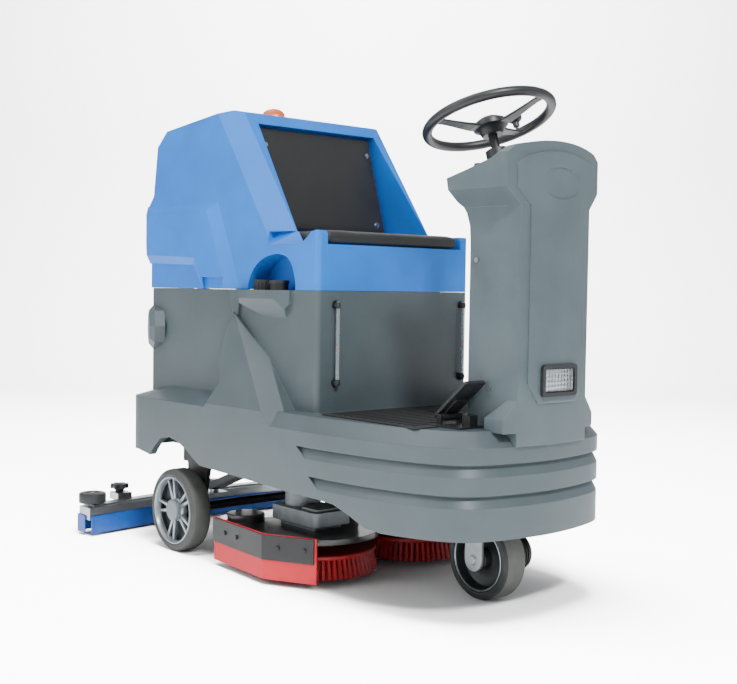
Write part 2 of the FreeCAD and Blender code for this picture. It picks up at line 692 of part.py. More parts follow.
def steering_shaft():
    """Upper steering shaft, from the wheel down to the universal joint."""
    length = (STEER_Z - JOINT_Z) / math.cos(math.radians(WHEEL_TILT))
    shaft = rod(STEER_SHAFT_R, (0, 0, -length + 16), (0, 0, -16))
    yoke = rod(17, (0, 0, -length + 15), (0, 0, -length + 34))
    return placed(joined([shaft, yoke]))


JOINT_Z = 700.0
JOINT_X = STEER_X + (STEER_Z - JOINT_Z) * math.tan(math.radians(WHEEL_TILT))
SPROCKET_Z = 318.0


def sprocket_shaft():
    """Lower steering shaft with the ball of the universal joint and the small sprocket."""
    ball = Part.makeSphere(14, V(JOINT_X, 0, JOINT_Z))
    shaft = rod(10, (JOINT_X, 0, SPROCKET_Z - 20), (JOINT_X, 0, JOINT_Z))
    wheel = rod(SPROCKET_SMALL - 5, (JOINT_X, 0, SPROCKET_Z - 3), (JOINT_X, 0, SPROCKET_Z + 3))
    return joined([ball, shaft, wheel])


def spinner_knob():
    """Mushroom knob that spins on the rim."""
    a = math.radians(SPINNER_ANGLE)
    x, y = RIM_R * math.cos(a), RIM_R * math.sin(a)
    z = SPINNER_SEAT + NEAR
    stem = rod(7.5, (x, y, z), (x, y, z + 14))
    pin = rod(4 - RUN, (x, y, 2), (x, y, z + 5))
    knob = Part.makeSphere(24, V(x, y, z + 24)).common(block(x - 30, x + 30, y - 30, y + 30, z + 10, z + 60))
    knob = knob.common(Part.makeSphere(34, V(x, y, z + 6)))
    return placed(joined([stem, pin, knob]))


def key_switch():
    """Ignition key in its barrel."""
    barrel = rod(6, dash_point(DASH_SWITCHES[0], -14), dash_point(DASH_SWITCHES[0], 6))
    x, y, z = dash_point(DASH_SWITCHES[0], 5)
    bow = block(x - 11, x + 11, y - 2.5, y + 2.5, z, z + 22)
    return joined([barrel, rounded(bow, 6, lambda e: e.BoundBox.YLength > 4)])


def emergency_stop():
    """Red mushroom button."""
    y = DASH_SWITCHES[1]
    stem = rod(6, dash_point(y, -14), dash_point(y, 8))
    head = rod(17, dash_point(y, 6), dash_point(y, 18))
    rims = [e for e in head.Edges if e.BoundBox.ZLength < 12 and e.BoundBox.XLength > 20]
    head = head.makeFillet(4, rims[:1])
    return joined([stem, head])


def steering_chain():
    """Roller chain round both sprockets, drawn as one closed band."""
    def loop(grow, z0, z1):
        small = SPROCKET_SMALL - 5 + NEAR + grow
        big = SPROCKET_BIG - 5 + NEAR + grow
        span = JOINT_X - WHEELBASE
        lean = math.asin((big - small) / span)
        s, c = math.sin(lean), math.cos(lean)
        pa = V(WHEELBASE + big * s, big * c, z0)
        pb = V(JOINT_X + small * s, small * c, z0)
        pc = V(pb.x, -pb.y, z0)
        pd = V(pa.x, -pa.y, z0)
        edges = [Part.LineSegment(pa, pb).toShape(),
                 Part.Arc(pb, V(JOINT_X + small, 0, z0), pc).toShape(),
                 Part.LineSegment(pc, pd).toShape(),
                 Part.Arc(pd, V(WHEELBASE - big, 0, z0), pa).toShape()]
        return Part.Face(Part.Wire(edges)).extrude(V(0, 0, z1 - z0))
    return loop(7, SPROCKET_Z - 3, SPROCKET_Z + 3).cut(loop(0, SPROCKET_Z - 4, SPROCKET_Z + 4))


# ---- drive wheel ---------------------------------------------------------------------
def drive_fork():
    """Steel fork with its crown, kingpin, axle and bolt heads."""
    w = FRONT_WHEEL_W / 2 + 4
    x = WHEELBASE
    z = FRONT_WHEEL_R
    legs = []
    for side in (-1, 1):
        y0, y1 = sorted((side * w, side * (w + LEG_T)))
        leg = block(x - LEG_W / 2, x + LEG_W / 2, y0, y1, z, FORK_STACK + 10)
        legs.append(leg.fuse(rod(LEG_W / 2, (x, y0, z), (x, y1, z))))
    crown = rod(72, (x, 0, FORK_STACK), (x, 0, FORK_STACK + 10))
    pin = rod(KINGPIN_R, (x, 0, FORK_STACK + 8), (x, 0, SPROCKET_Z + 12))
    axle = rod(AXLE_R - 2.5, (x, -w - LEG_T, z), (x, w + LEG_T, z))
    heads = [rod(11, (x, s * (w + LEG_T), z), (x, s * (w + LEG_T + 5), z)) for s in (-1,)]
    washers = [rod(15, (x, s * (w + LEG_T), z), (x, s * (w + LEG_T + 1.5), z)) for s in (-1,)]
    return joined(legs + [crown, pin, axle] + heads + washers)


def fork_sprocket():
    """Large sprocket clamped on the kingpin."""
    x = WHEELBASE
    disc = tube(SPROCKET_BIG - 5, KINGPIN_R, (x, 0, SPROCKET_Z - 3), (x, 0, SPROCKET_Z + 3))
    holes = []
    for i in range(6):
        a = math.tau * i / 6
        px, py = x + 33 * math.cos(a), 33 * math.sin(a)
        holes.append(rod(6, (px, py, SPROCKET_Z - 5), (px, py, SPROCKET_Z + 5)))
    return disc.cut(holes)


def drive_motor():
    """Drive motor and gearbox on the left fork leg."""
    w = FRONT_WHEEL_W / 2 + 4 + LEG_T
    x, z = WHEELBASE, FRONT_WHEEL_R
    gear = rod(34, (x, w, z), (x, w + 16, z))
    can = rod(44, (x, w + 14, z), (x, w + 66, z))
    fins = [tube(47, 43, (x, w + 20 + 8 * i, z), (x, w + 23 + 8 * i, z)) for i in range(5)]
    return joined([gear, can] + fins)


def drive_tyre():
    """Solid grey tyre with rounded shoulders."""
    x, z, w = WHEELBASE, FRONT_WHEEL_R, FRONT_WHEEL_W / 2
    tyre = tube(FRONT_WHEEL_R, FRONT_RIM_R, (x, -w, z), (x, w, z))
    return rounded(tyre, 8, lambda e: abs(e.BoundBox.ZLength - 2 * FRONT_WHEEL_R) < 1)


def drive_rim():
    """Deep dished rim with a tubular hub."""
    x, z, w = WHEELBASE, FRONT_WHEEL_R, FRONT_WHEEL_W / 2
    drum = tube(FRONT_RIM_R, FRONT_RIM_R - 7, (x, -w + 1, z), (x, w - 1, z))
    bead = [tube(FRONT_RIM_R + 1, FRONT_RIM_R - 9, (x, s * (w - 4), z), (x, s * (w - 1), z)) for s in (-1, 1)]
    web = tube(FRONT_RIM_R - 4, 20, (x, 4, z), (x, 12, z))
    hub = tube(26, AXLE_R - 2.5 + RUN, (x, -w + 6, z), (x, w - 6, z))
    body = joined([drum.cut(group(bead)), web, hub])
    return body.common(rod(FRONT_RIM_R - 0.01, (x, -w, z), (x, w, z)))


# ---- rear wheels ---------------------------------------------------------------------
def rear_tyre():
    """Grey rubber tyre on the right side, with grooved side walls."""
    y0, y1 = -REAR_OUTER, -REAR_OUTER + REAR_WHEEL_W
    z = REAR_WHEEL_R
    tyre = tube(REAR_WHEEL_R, REAR_RIM_R, (0, y0, z), (0, y1, z))
    return rounded(tyre, 10, lambda e: abs(e.BoundBox.ZLength - 2 * REAR_WHEEL_R) < 1)


def rear_rim():
    """Rim on the right side with double spokes in a shallow dish."""
    y0, y1 = -REAR_OUTER + 2, -REAR_OUTER + REAR_WHEEL_W - 2
    z = REAR_WHEEL_R
    drum = tube(REAR_RIM_R, REAR_RIM_R - 6, (0, y0, z), (0, y1, z))
    disc = tube(REAR_RIM_R - 4, 24, (0, y0 + 14, z), (0, y0 + 20, z))
    hub = tube(33, AXLE_R + RUN, (0, y0 + 6, z), (0, y1 + 6, z))
    arms = []
    for i in range(SPOKES):
        for side in (-1, 1):
            bar = block(28, REAR_RIM_R - 4, y0 + 2, y0 + 16, side * 10 - 4, side * 10 + 4)
            bar = bar.rotate(V(0, 0, 0), V(0, 1, 0), 18 + 360 / SPOKES * i)
            arms.append(bar.translate(V(0, 0, z)))
    body = joined([drum, disc, hub] + arms)
    return body.cut(rod(CAP_R + NEAR, (0, y0 - 5, z), (0, y0 + 6, z)))


CAP_R = 30.0


def rear_hub_cap():
    """Flat grey cap over the right rear hub."""
    z = REAR_WHEEL_R
    y0 = -REAR_OUTER + 2
    cap = rod(CAP_R, (0, y0 + 1, z), (0, y0 + 6, z))
    return rounded(cap, 1.5, lambda e: e.BoundBox.YLength < NEAR and e.BoundBox.YMin < y0 + 2)


def rear_axle():
    """Axle shaft and the two brackets that carry it."""
    inner = REAR_OUTER - REAR_WHEEL_W
    z = REAR_WHEEL_R
    end = REAR_OUTER - 12
    shaft = rod(AXLE_R, (0, -end, z), (0, end, z))
    parts = [shaft]
    for side in (-1, 1):
        y0, y1 = sorted((side * (inner - 26), side * (inner - 14)))
        plate = side_prism([(-34, 96), (34, 96), (78, RAIL_LOW), (-40, RAIL_LOW)], y0, y1)
        parts.append(plate)
        spacer = sorted((side * (inner - 14), side * (inner - 4 - NEAR)))
        parts.append(rod(20, (0, spacer[0], z), (0, spacer[1], z)))
    return joined(parts)


# ---- chassis frame -------------------------------------------------------------------
RAIL_LOW = 284.0
RAIL_TOP = 328.0
RAIL_T = 30.0
RAIL_Y = REAR_OUTER - REAR_WHEEL_W - 26 - RAIL_T / 2


def chassis_frame():
    """Welded frame: rails, cross members, battery tray, link brackets and steering head."""
    rails = [block(-140, 760, y - RAIL_T / 2, y + RAIL_T / 2, RAIL_LOW, RAIL_TOP)
             for y in (-RAIL_Y, RAIL_Y)]
    cross = [block(x, x + 30, -RAIL_Y, RAIL_Y, RAIL_LOW + 4, RAIL_TOP) for x in (-138, 66, 330, 600, 730)]
    tray = block(-146, 530, -RAIL_Y - 12, RAIL_Y + 12, RAIL_TOP - 2, RAIL_TOP + 6)
    rests = [block(x, x + 30, -RAIL_Y - 50, RAIL_Y + 50, RAIL_TOP - 2, FLOOR_Z - SHELL)
             for x in (620, 700)]
    rests = [r.cut(block(0, BIG, -RAIL_Y + 10, RAIL_Y - 10, 0, BIG)) for r in rests]
    spine = [block(740, 860, y - 12, y + 12, RAIL_LOW, RAIL_TOP) for y in (-88, 88)]
    deck = block(810, 1000, -100, 100, RAIL_LOW, RAIL_LOW + 8)
    deck = deck.cut(rod(58, (WHEELBASE, 0, RAIL_LOW - 1), (WHEELBASE, 0, RAIL_LOW + 9)))
    head = tube(60, KINGPIN_R + RUN, (WHEELBASE, 0, 250), (WHEELBASE, 0, RAIL_LOW + 8))
    lower_bearing = tube(16, 10 + RUN, (JOINT_X, 0, SPROCKET_Z - 22 - 12), (JOINT_X, 0, SPROCKET_Z - 22 + 6))
    plate = block(990, JOINT_X + 14, -30, 30, SPROCKET_Z - 34, SPROCKET_Z - 26)
    plate = plate.cut(rod(12, (JOINT_X, 0, 200), (JOINT_X, 0, 400)))
    mast = [block(960, 976, y - 8, y + 8, RAIL_LOW, 760) for y in (-70, 70)]
    top = block(960, JOINT_X + 20, -78, 78, 640, 648).cut(rod(10 + RUN, (JOINT_X, 0, 600), (JOINT_X, 0, 680)))
    brackets = []
    for side in (-1, 1):
        y = side * LINK_Y
        plate_y = sorted((y + side * 5.5, y + side * 11.5))
        brackets.append(block(LINK_FOOT_X - 22, LINK_FOOT_X + 16, plate_y[0], plate_y[1],
                              LINK_LOW_Z - 16, RAIL_LOW + 6))
        for z in (LINK_LOW_Z, LINK_LOW_Z + LINK_SPACE):
            ends = sorted((y - 4.5 * side, y + 8 * side))
            brackets.append(rod(LINK_PIN, (LINK_FOOT_X, ends[0], z), (LINK_FOOT_X, ends[1], z)))
    arm_ears = []
    for y0, y1 in ((-34, -28), (28, 34)):
        arm_ears.append(block(ARM_PIVOT[0] - 14, ARM_PIVOT[0] + 14, y0, y1, ARM_PIVOT[1] - 14, RAIL_LOW + 6))
    arm_pin = rod(8, (ARM_PIVOT[0], -34, ARM_PIVOT[1]), (ARM_PIVOT[0], 34, ARM_PIVOT[1]))
    wells = []
    for side in (-1, 1):
        y0, y1 = sorted((side * (RAIL_Y - RAIL_T / 2 - 4), side * (RAIL_Y - RAIL_T / 2 + 1)))
        wells.append(block(-128, 150, y0, y1, RAIL_LOW - 54, RAIL_TOP - 8))
    return joined(rails + cross + [tray] + rests + spine + [deck, head, lower_bearing, plate] + mast
                  + [top] + brackets + arm_ears + [arm_pin] + wells)


BATTERY = (170.0, 190.0, 250.0)


def battery_pack():
    """Four batteries standing on the tray, with their terminals."""
    cells = []
    for x in (60.0, 60.0 + BATTERY[0] + 6):
        for y in (-BATTERY[1] - 4, 4.0):
            cell = slab(x, x + BATTERY[0], y, y + BATTERY[1], RAIL_TOP + 6, RAIL_TOP + 6 + BATTERY[2], 6)
            z = RAIL_TOP + 4 + BATTERY[2]
            studs = [rod(8, (x + 26, y + q, z), (x + 26, y + q, z + 18)) for q in (30, BATTERY[1] - 30)]
            cells.append(joined([cell] + studs))
    return group(cells)


ACT_X = 210.0
ACT_ROD = 8.0


def deck_actuator():
    """Linear actuator that lets the brush deck down, with its motor."""
    low, high = 246.0, RAIL_TOP - 2
    barrel = tube(20, ACT_ROD + RUN, (ACT_X, 0, low), (ACT_X, 0, high))
    cap = block(ACT_X - 22, ACT_X + 60, -22, 22, 268, 300).cut(rod(18, (ACT_X, 0, 200), (ACT_X, 0, 400)))
    motor = rod(20, (ACT_X + 44, 0, 230), (ACT_X + 44, 0, RAIL_TOP - 2))
    return joined([barrel, cap, motor])


def actuator_rod():
    """Rod of the actuator, pressing on the link's cross bar."""
    top = 320.0
    low = link_bar_top() + NEAR
    tip = rod(4, (ACT_X, 0, low), (ACT_X, 0, low + 12))
    return joined([tip, rod(ACT_ROD, (ACT_X, 0, low + 10), (ACT_X, 0, top))])


def link_bar_top():
    """Top of the cross bar between the two lower links."""
    return LINK_LOW_Z + 8.0


def links(z, bar):
    """A pair of flat links, each with an eye at both ends."""
    parts = []
    for side in (-1, 1):
        y0, y1 = side * LINK_Y - 4, side * LINK_Y + 4
        strip = block(LINK_FOOT_X, LINK_FOOT_X + LINK_LENGTH, y0, y1, z - 8, z + 8)
        eyes = [rod(13, (x, y0, z), (x, y1, z)) for x in (LINK_FOOT_X, LINK_FOOT_X + LINK_LENGTH)]
        strip = joined([strip] + eyes)
        strip = strip.cut(rod(LINK_PIN + RUN, (LINK_FOOT_X, y0 - 1, z), (LINK_FOOT_X, y1 + 1, z)))
        open_pin = RUN if bar else OPEN_PIN
        far = LINK_FOOT_X + LINK_LENGTH
        strip = strip.cut(rod(LINK_PIN + open_pin, (far, y0 - 1, z), (far, y1 + 1, z)))
        parts.append(strip)
    if bar:
        parts.append(block(ACT_X - 18, ACT_X + 18, -LINK_Y, LINK_Y, z - 8, link_bar_top()))
        return joined(parts)
    return group(parts)


OPEN_PIN = 0.6


# ---- brush deck ----------------------------------------------------------------------
def deck_outline(grow):
    """Plan of the deck: two brush circles joined into one housing."""
    discs = [rod(BRUSH_R + grow, (BRUSH_X, y, 0), (BRUSH_X, y, 10)) for y in (-BRUSH_Y, BRUSH_Y)]
    mid = block(BRUSH_X - BRUSH_R - grow, BRUSH_X + BRUSH_R * 0.55 + grow, -BRUSH_Y, BRUSH_Y, 0, 10)
    return joined(discs + [mid])


DISC_Z = 82.0
TOWER = (262.0, 270.0)           # rear corner tower, x and y
TOWER_R = 50.0


def deck_housing():
    """Pressed steel deck over both brushes, with its rim, towers and link posts."""
    rim = 118.0
    plate = deck_outline(3).common(block(-BIG, BIG, -BIG, BIG, 0, 5)).translate(V(0, 0, rim - 2))
    skirt = deck_outline(3).cut(deck_outline(-1)).translate(V(0, 0, rim - 12))
    parts = [plate, skirt]
    for side in (-1, 1):
        tx, ty = TOWER
        tower = rod(TOWER_R, (tx, side * ty, PLATE_LOW + 8), (tx, side * ty, DECK_TOP + 8))
        tower = rounded(tower, 5, lambda e: e.BoundBox.ZMin > DECK_TOP and e.BoundBox.XLength > 50)
        (ax, ay), (bx, by), (cx, cy) = [(x, y - SKIRT_T - 3) for x, y in SIDE_PLAN]
        shelf = [(ax + 20, side * ay), (bx, side * by), (cx - 6, side * cy), (BRUSH_X + 90, side * BRUSH_Y),
                 (BRUSH_X - BRUSH_R, side * BRUSH_Y)]
        under = rod(BRUSH_R + 2, (BRUSH_X, side * BRUSH_Y, 0), (BRUSH_X, side * BRUSH_Y, rim - 2))
        rail = run_of(SIDE_PLAN, -SKIRT_T - PLATE_T - NEAR, -SKIRT_T - NEAR, PLATE_LOW + 20, rim, side)
        parts.append(joined([tower, plan_prism(shelf, rim - 2, rim + 3), rail]).cut(under))
        x = LINK_FOOT_X + LINK_LENGTH
        y = side * LINK_Y
        edge = sorted((y + side * 5.5, y + side * 13))
        parts.append(block(x - 14, x + 30, edge[0], edge[1], rim, LINK_LOW_Z + LINK_SPACE + 12))
        for z in (LINK_LOW_Z, LINK_LOW_Z + LINK_SPACE):
            ends = sorted((y - side * 4.5, y + side * 8))
            parts.append(rod(LINK_PIN, (x, ends[0], z), (x, ends[1], z)))
    body = joined(parts)
    for side in (-1, 1):
        body = body.cut(rod(16, (BRUSH_X, side * BRUSH_Y, 60), (BRUSH_X, side * BRUSH_Y, 200)))
        for x, y, nx, ny in bolt_spots():
            body = body.cut(rod(3 + RUN, (x - 20 * nx, side * (y - 20 * ny), 97), (x, side * y, 97)))
    return body


def brush_motors():
    """Brush motors: cast gear case, motor can and output shaft for each brush."""
    rim = 121.0
    parts = []
    for side in (-1, 1):
        y = side * BRUSH_Y
        case = slab(BRUSH_X - 118, BRUSH_X + 74, y - 60, y + 60, rim + 12, rim + 50, 14)
        feet = slab(BRUSH_X - 96, BRUSH_X + 52, y - 46, y + 46, rim, rim + 14, 8)
        can = rod(44, (BRUSH_X - 60, y, rim + 46), (BRUSH_X - 60, y, rim + 86))
        lid = slab(BRUSH_X - 10, BRUSH_X + 60, y - 44, y + 44, rim + 48, rim + 56, 10)
        shaft = rod(12, (BRUSH_X, y, DISC_Z + 12 + NEAR), (BRUSH_X, y, rim + 20))
        parts.append(joined([case, feet, can, lid, shaft]))
    return group(parts)


SIDE_PLAN = [(206.0, 334.0), (457.0, 355.0), (584.0, 292.0)]    # run of a side plate: x and y
PLATE_T = 4.0
SKIRT_T = 6.0


def run_of(points, inner, outer, z0, z1, side):
    """Strip along a run of x, y points, between two offsets to its outer side."""
    def offset(distance):
        pts = []
        for i, (x, y) in enumerate(points):
            xa, ya = points[max(i - 1, 0)]
            xb, yb = points[min(i + 1, len(points) - 1)]
            span = math.hypot(xb - xa, yb - ya)
            pts.append((x - distance * (yb - ya) / span, y + distance * (xb - xa) / span))
        return pts
    near_line, far_line = offset(inner), offset(outer)
    ring = [(x, side * y) for x, y in near_line + far_line[::-1]]
    return plan_prism(ring, z0, z1)


def bolt_spots():
    """Places of the round-headed bolts on a side plate: x, y and the run's direction."""
    spots = []
    for (x0, y0), (x1, y1), shares in ((SIDE_PLAN[0], SIDE_PLAN[1], (0.26, 0.50)),
                                       (SIDE_PLAN[1], SIDE_PLAN[2], (0.30, 0.82))):
        span = math.hypot(x1 - x0, y1 - y0)
        for s in shares:
            spots.append((x0 + s * (x1 - x0), y0 + s * (y1 - y0), (y0 - y1) / span, (x1 - x0) / span))
    return spots


def skirt_plates():
    """Black steel side and front plates with their bolts."""
    parts = []
    for side in (-1, 1):
        plate = run_of(SIDE_PLAN, 0, PLATE_T, PLATE_LOW, PLATE_TOP, side)
        parts += [plate]
        for x, y, nx, ny in bolt_spots():
            a = (x - 16 * nx, side * (y - 16 * ny), 97)
            b = (x + (PLATE_T + 1) * nx, side * (y + (PLATE_T + 1) * ny), 97)
            c = (x + (PLATE_T + 4) * nx, side * (y + (PLATE_T + 4) * ny), 97)
            parts[-1] = joined([parts[-1], rod(3, a, b), rod(6, (b[0] - nx, b[1] - side * ny, 97), c)])
    return group(parts)


def skirts():
    """Red rubber skirts behind the side plates."""
    parts = []
    for side in (-1, 1):
        (xa, ya), (xb, yb) = SIDE_PLAN[1:]
        share = 1 + SKIRT_T / math.hypot(xb - xa, yb - ya)
        end = (xa + share * (xb - xa), ya + share * (yb - ya))
        rubber = run_of(SIDE_PLAN[:2] + [end], -SKIRT_T, -NEAR, DECK_RAISE, PLATE_TOP + 1, side)
        for x, y, nx, ny in bolt_spots():
            inner = (x - 20 * nx, side * (y - 20 * ny), 97)
            outer = (x + 20 * nx, side * (y + 20 * ny), 97)
            hole = rod(3 + RUN, inner, outer)
            rubber = rubber.cut(hole)
        parts.append(rubber)
    return group(parts)


def brush(side):
    """Disc brush: drive disc, hub and a crown of bristle tufts."""
    y = side * BRUSH_Y
    disc = rod(BRUSH_R - 10, (BRUSH_X, y, DISC_Z - 10), (BRUSH_X, y, DISC_Z + 12))
    foot = DECK_RAISE + 1
    tufts = Part.makeCone(BRUSH_R - 2, BRUSH_R - 14, DISC_Z - 8 - foot, V(BRUSH_X, y, foot))
    core = Part.makeCone(60, 66, DISC_Z - 6 - foot, V(BRUSH_X, y, foot - 1))
    return joined([disc, tufts.cut(core)])


# ---- squeegee ------------------------------------------------------------------------
def squeegee_line(offset, z0, z1, thick, half):
    """Strip that follows the squeegee's swept plan, at a distance behind its front edge."""
    x = SQUEEGEE_END_X - offset
    back = SQUEEGEE_SWEEP
    knee = half * 0.36
    ring = [(x, -half), (x - back, -knee), (x - back, knee), (x, half),
            (x - thick, half), (x - back - thick, knee), (x - back - thick, -knee), (x - thick, -half)]
    return plan_prism(ring, z0, z1)


BAR_LOW = 48.0
BAR_TOP = 84.0


def squeegee_body():
    """Aluminium squeegee body with its top plate, clamp blocks, roller studs and hose spigot."""
    bar = squeegee_line(0, BAR_LOW, BAR_TOP, SQUEEGEE_DEPTH, SQUEEGEE_HALF)
    hollow = squeegee_line(8, BAR_LOW - 1, BAR_TOP - 6, SQUEEGEE_DEPTH - 16, SQUEEGEE_HALF - 8)
    plate = squeegee_line(14, BAR_TOP, BAR_TOP + 5, SQUEEGEE_DEPTH - 30, SQUEEGEE_HALF - 20)
    x = SWIVEL_X - SQUEEGEE_SWEEP
    spigot = tube(24, 20, (x - 40, 0, BAR_TOP - 2), (x - 40, 0, BAR_TOP + 46))
    port = rod(20, (x - 40, 0, BAR_LOW - 5), (x - 40, 0, BAR_TOP + 60))
    pivot = rod(14, (SWIVEL_X, 0, BAR_TOP - 2), (SWIVEL_X, 0, BAR_TOP + 46))
    tongue = block(SWIVEL_X - 112, SWIVEL_X + 26, -34, 34, BAR_TOP - 2, BAR_TOP + 6)
    parts = [bar.cut(hollow), plate, spigot, pivot, tongue]
    for side in (-1, 1):
        y = side * KNOB_Y
        parts.append(block(KNOB_X - 18, KNOB_X + 34, y - 24, y + 24, BAR_TOP, BAR_TOP + 22))
        parts.append(rod(4, (KNOB_X, y, BAR_TOP + 20), (KNOB_X, y, BAR_TOP + 46)))
        ry = side * (SQUEEGEE_HALF - 34)
        rx = SQUEEGEE_END_X - SQUEEGEE_DEPTH / 2 - 16
        parts.append(rod(5, (rx, ry, BAR_TOP - 4), (rx, ry, BAR_TOP + 8 + ROLLER_T)))
        parts.append(rod(10, (rx, ry, BAR_TOP - 2), (rx, ry, BAR_TOP + 7)))
    return joined(parts).cut(port)


def squeegee_blades():
    """Blue front and rear wiping blades."""
    half = SQUEEGEE_HALF
    rear = squeegee_line(SQUEEGEE_DEPTH + NEAR, BLADE_LOW, BAR_LOW + 12, BLADE_T, half)
    front = squeegee_line(-BLADE_T - NEAR, BLADE_LOW, BAR_LOW + 12, BLADE_T, half - 4)
    ends = []
    for side in (-1, 1):
        y0, y1 = sorted((side * (half + NEAR), side * (half + NEAR + BLADE_T)))
        x0 = SQUEEGEE_END_X - SQUEEGEE_DEPTH - BLADE_T
        ends.append(block(x0, SQUEEGEE_END_X - 24, y0, y1, BLADE_LOW, BAR_LOW + 12))
    return group([rear, front] + ends)


def squeegee_arm():
    """Arm that carries the squeegee under the rear of the frame."""
    px, pz = ARM_PIVOT
    eye = tube(15, 8 + RUN, (px, -27, pz), (px, 27, pz))
    top = BAR_TOP + 8
    beam = side_prism([(px - 4, pz - 12), (px - 4, pz + 12),
                       (SWIVEL_X + 20, top + 36), (SWIVEL_X - 4, top + 36),
                       (SWIVEL_X - 4, top + 8), (SWIVEL_X + 14, top + 8)], -24, 24)
    socket = rod(24, (SWIVEL_X, 0, top + 8), (SWIVEL_X, 0, top + 36))
    bore = rod(14 + RUN, (SWIVEL_X, 0, 0), (SWIVEL_X, 0, 300))
    hinge_bore = rod(8 + RUN, (px, -40, pz), (px, 40, pz))
    return joined([eye, beam, socket]).cut(bore).cut(hinge_bore)


def squeegee_knob(side):
    """Star knob that clamps the blade."""
    y = side * KNOB_Y
    z = BAR_TOP + 22 + NEAR
    neck = rod(12, (KNOB_X, y, z), (KNOB_X, y, z + 12))
    head = rod(22, (KNOB_X, y, z + 10), (KNOB_X, y, z + 26))
    lobes = []
    for i in range(6):
        a = math.tau * i / 6
        px, py = KNOB_X + 20 * math.cos(a), y + 20 * math.sin(a)
        lobes.append(rod(8, (px, py, z + 10), (px, py, z + 26)))
    bore = rod(4 + RUN, (KNOB_X, y, z - 1), (KNOB_X, y, z + 40))
    return joined([neck, head] + lobes).cut(bore)


def guide_roller(side):
    """Rubber guide roller at the end of the squeegee."""
    ry = side * (SQUEEGEE_HALF - 34)
    rx = SQUEEGEE_END_X - SQUEEGEE_DEPTH / 2 - 16
    z = BAR_TOP + 7 + NEAR
    wheel = rod(ROLLER_R, (rx, ry, z), (rx, ry, z + ROLLER_T))
    wheel = rounded(wheel, 5, lambda e: e.BoundBox.XLength > ROLLER_R)
    return wheel.cut(rod(5 + RUN, (rx, ry, z - 1), (rx, ry, z + ROLLER_T + 1)))


# ---- pedal ---------------------------------------------------------------------------
PEDAL_X = 905.0
PEDAL_Y = 155.0
PEDAL_Z = 446.0
PEDAL_HALF = 33.0
PEDAL_LENGTH = 116.0
PEDAL_LEAN = 41.0
PEDAL_PIN = 5.0


def pedal_pad():
    """Ribbed pedal pad hinged at its heel."""
    pad = slab(-14, PEDAL_LENGTH, -PEDAL_HALF, PEDAL_HALF, 8, 15, 5)
    ribs = [block(x, x + 4, -PEDAL_HALF + 3, PEDAL_HALF - 3, 14, 18) for x in range(0, 88, 9)]
    screws = [rod(4.5, (PEDAL_LENGTH - 10, y, 14), (PEDAL_LENGTH - 10, y, 18)) for y in (-22, 22)]
    knuckle = rod(9, (0, -PEDAL_HALF + 6, 0), (0, PEDAL_HALF - 6, 0))
    web = block(-6, 60, -20, 20, 2, 9)
    body = joined([pad, knuckle, web] + ribs + screws)
    body = body.cut(rod(PEDAL_PIN + RUN, (0, -60, 0), (0, 60, 0)))
    lean = FreeCAD.Rotation(V(0, 1, 0), -PEDAL_LEAN)
    body.Placement = FreeCAD.Placement(V(PEDAL_X, -PEDAL_Y, PEDAL_Z + 6), lean)
    return body


def pedal_base():
    """Bracket on the platform with the pedal pin and the throttle sensor box."""
    z = PEDAL_Z + 6
    plate = block(PEDAL_X - 30, PEDAL_X + 78, -PEDAL_Y - 46, -PEDAL_Y + 36, FLOOR_Z, FLOOR_Z + 4)
    ears = []
    for y in (-PEDAL_Y - PEDAL_HALF + 1, -PEDAL_Y + PEDAL_HALF - 1):
        ears.append(block(PEDAL_X - 7, PEDAL_X + 7, y - 3, y + 3, FLOOR_Z, z))
        ears.append(rod(7, (PEDAL_X, y - 3, z), (PEDAL_X, y + 3, z)))
    pin = rod(PEDAL_PIN, (PEDAL_X, -PEDAL_Y - PEDAL_HALF, z), (PEDAL_X, -PEDAL_Y + PEDAL_HALF, z))
    stop = block(PEDAL_X + 52, PEDAL_X + 76, -PEDAL_Y - 12, -PEDAL_Y + 14, FLOOR_Z + 2, FLOOR_Z + 30)
    return joined([plate, pin, stop] + ears)


# ---- recovery tank -------------------------------------------------------------------
TANK_LOW = SEAM_Z + GAP


def tank_profile(inset):
    """Side view of the tank."""
    i = inset
    xr, zr = TANK_TOP_REAR
    xf, zf = TANK_TOP_FRONT
    return [(REAR_FACE + i, TANK_LOW + i), (REAR_FACE + i, 825), (-272 + i, 850), (-264 + i, 976),
            (-238 + i, 1005), (-217 + i, 1147 - i * 0.4), (xr + i * 0.5, zr - i), (xf - 36, zf - 3 - i),
            (xf - i * 0.6, zf - 10 - i), (WING_FOOT_X - i, ARM_TOP), (WING_FOOT_X - i, ARM_TOP - i),
            (SEAT_FRONT - 7 - i, ARM_TOP - i), (SEAT_FRONT - i, ARM_TOP - 10 - i),
            (SEAT_FRONT - i, TANK_LOW + i)]


def raised_panel():
    """Proud panel low at the rear of the right side, with sloping edges."""
    base_y, face_y = -CABIN_HALF, -CABIN_HALF - RAISE
    base = [(-271, 976), (107, 976), (220, TANK_LOW), (30, TANK_LOW), (-20, 800), (-258, 806)]
    face = [(-271, 952), (63, 952), (156, TANK_LOW), (56, TANK_LOW), (4, 822), (-258, 832)]
    wires = []
    for pts, y in ((base, base_y + 1), (face, face_y)):
        ring = [V(x, y, z) for x, z in pts]
        wires.append(Part.makePolygon(ring + [ring[0]]))
    panel = Part.makeLoft(wires, True, True)
    panel = trim(panel, (-272, -CABIN_HALF, 0), (-1, -0.9, 0))
    notch = block(43, 146, -CABIN_HALF - 30, -CABIN_HALF + 1, TANK_LOW - 1, 768)
    return panel.cut(notch)


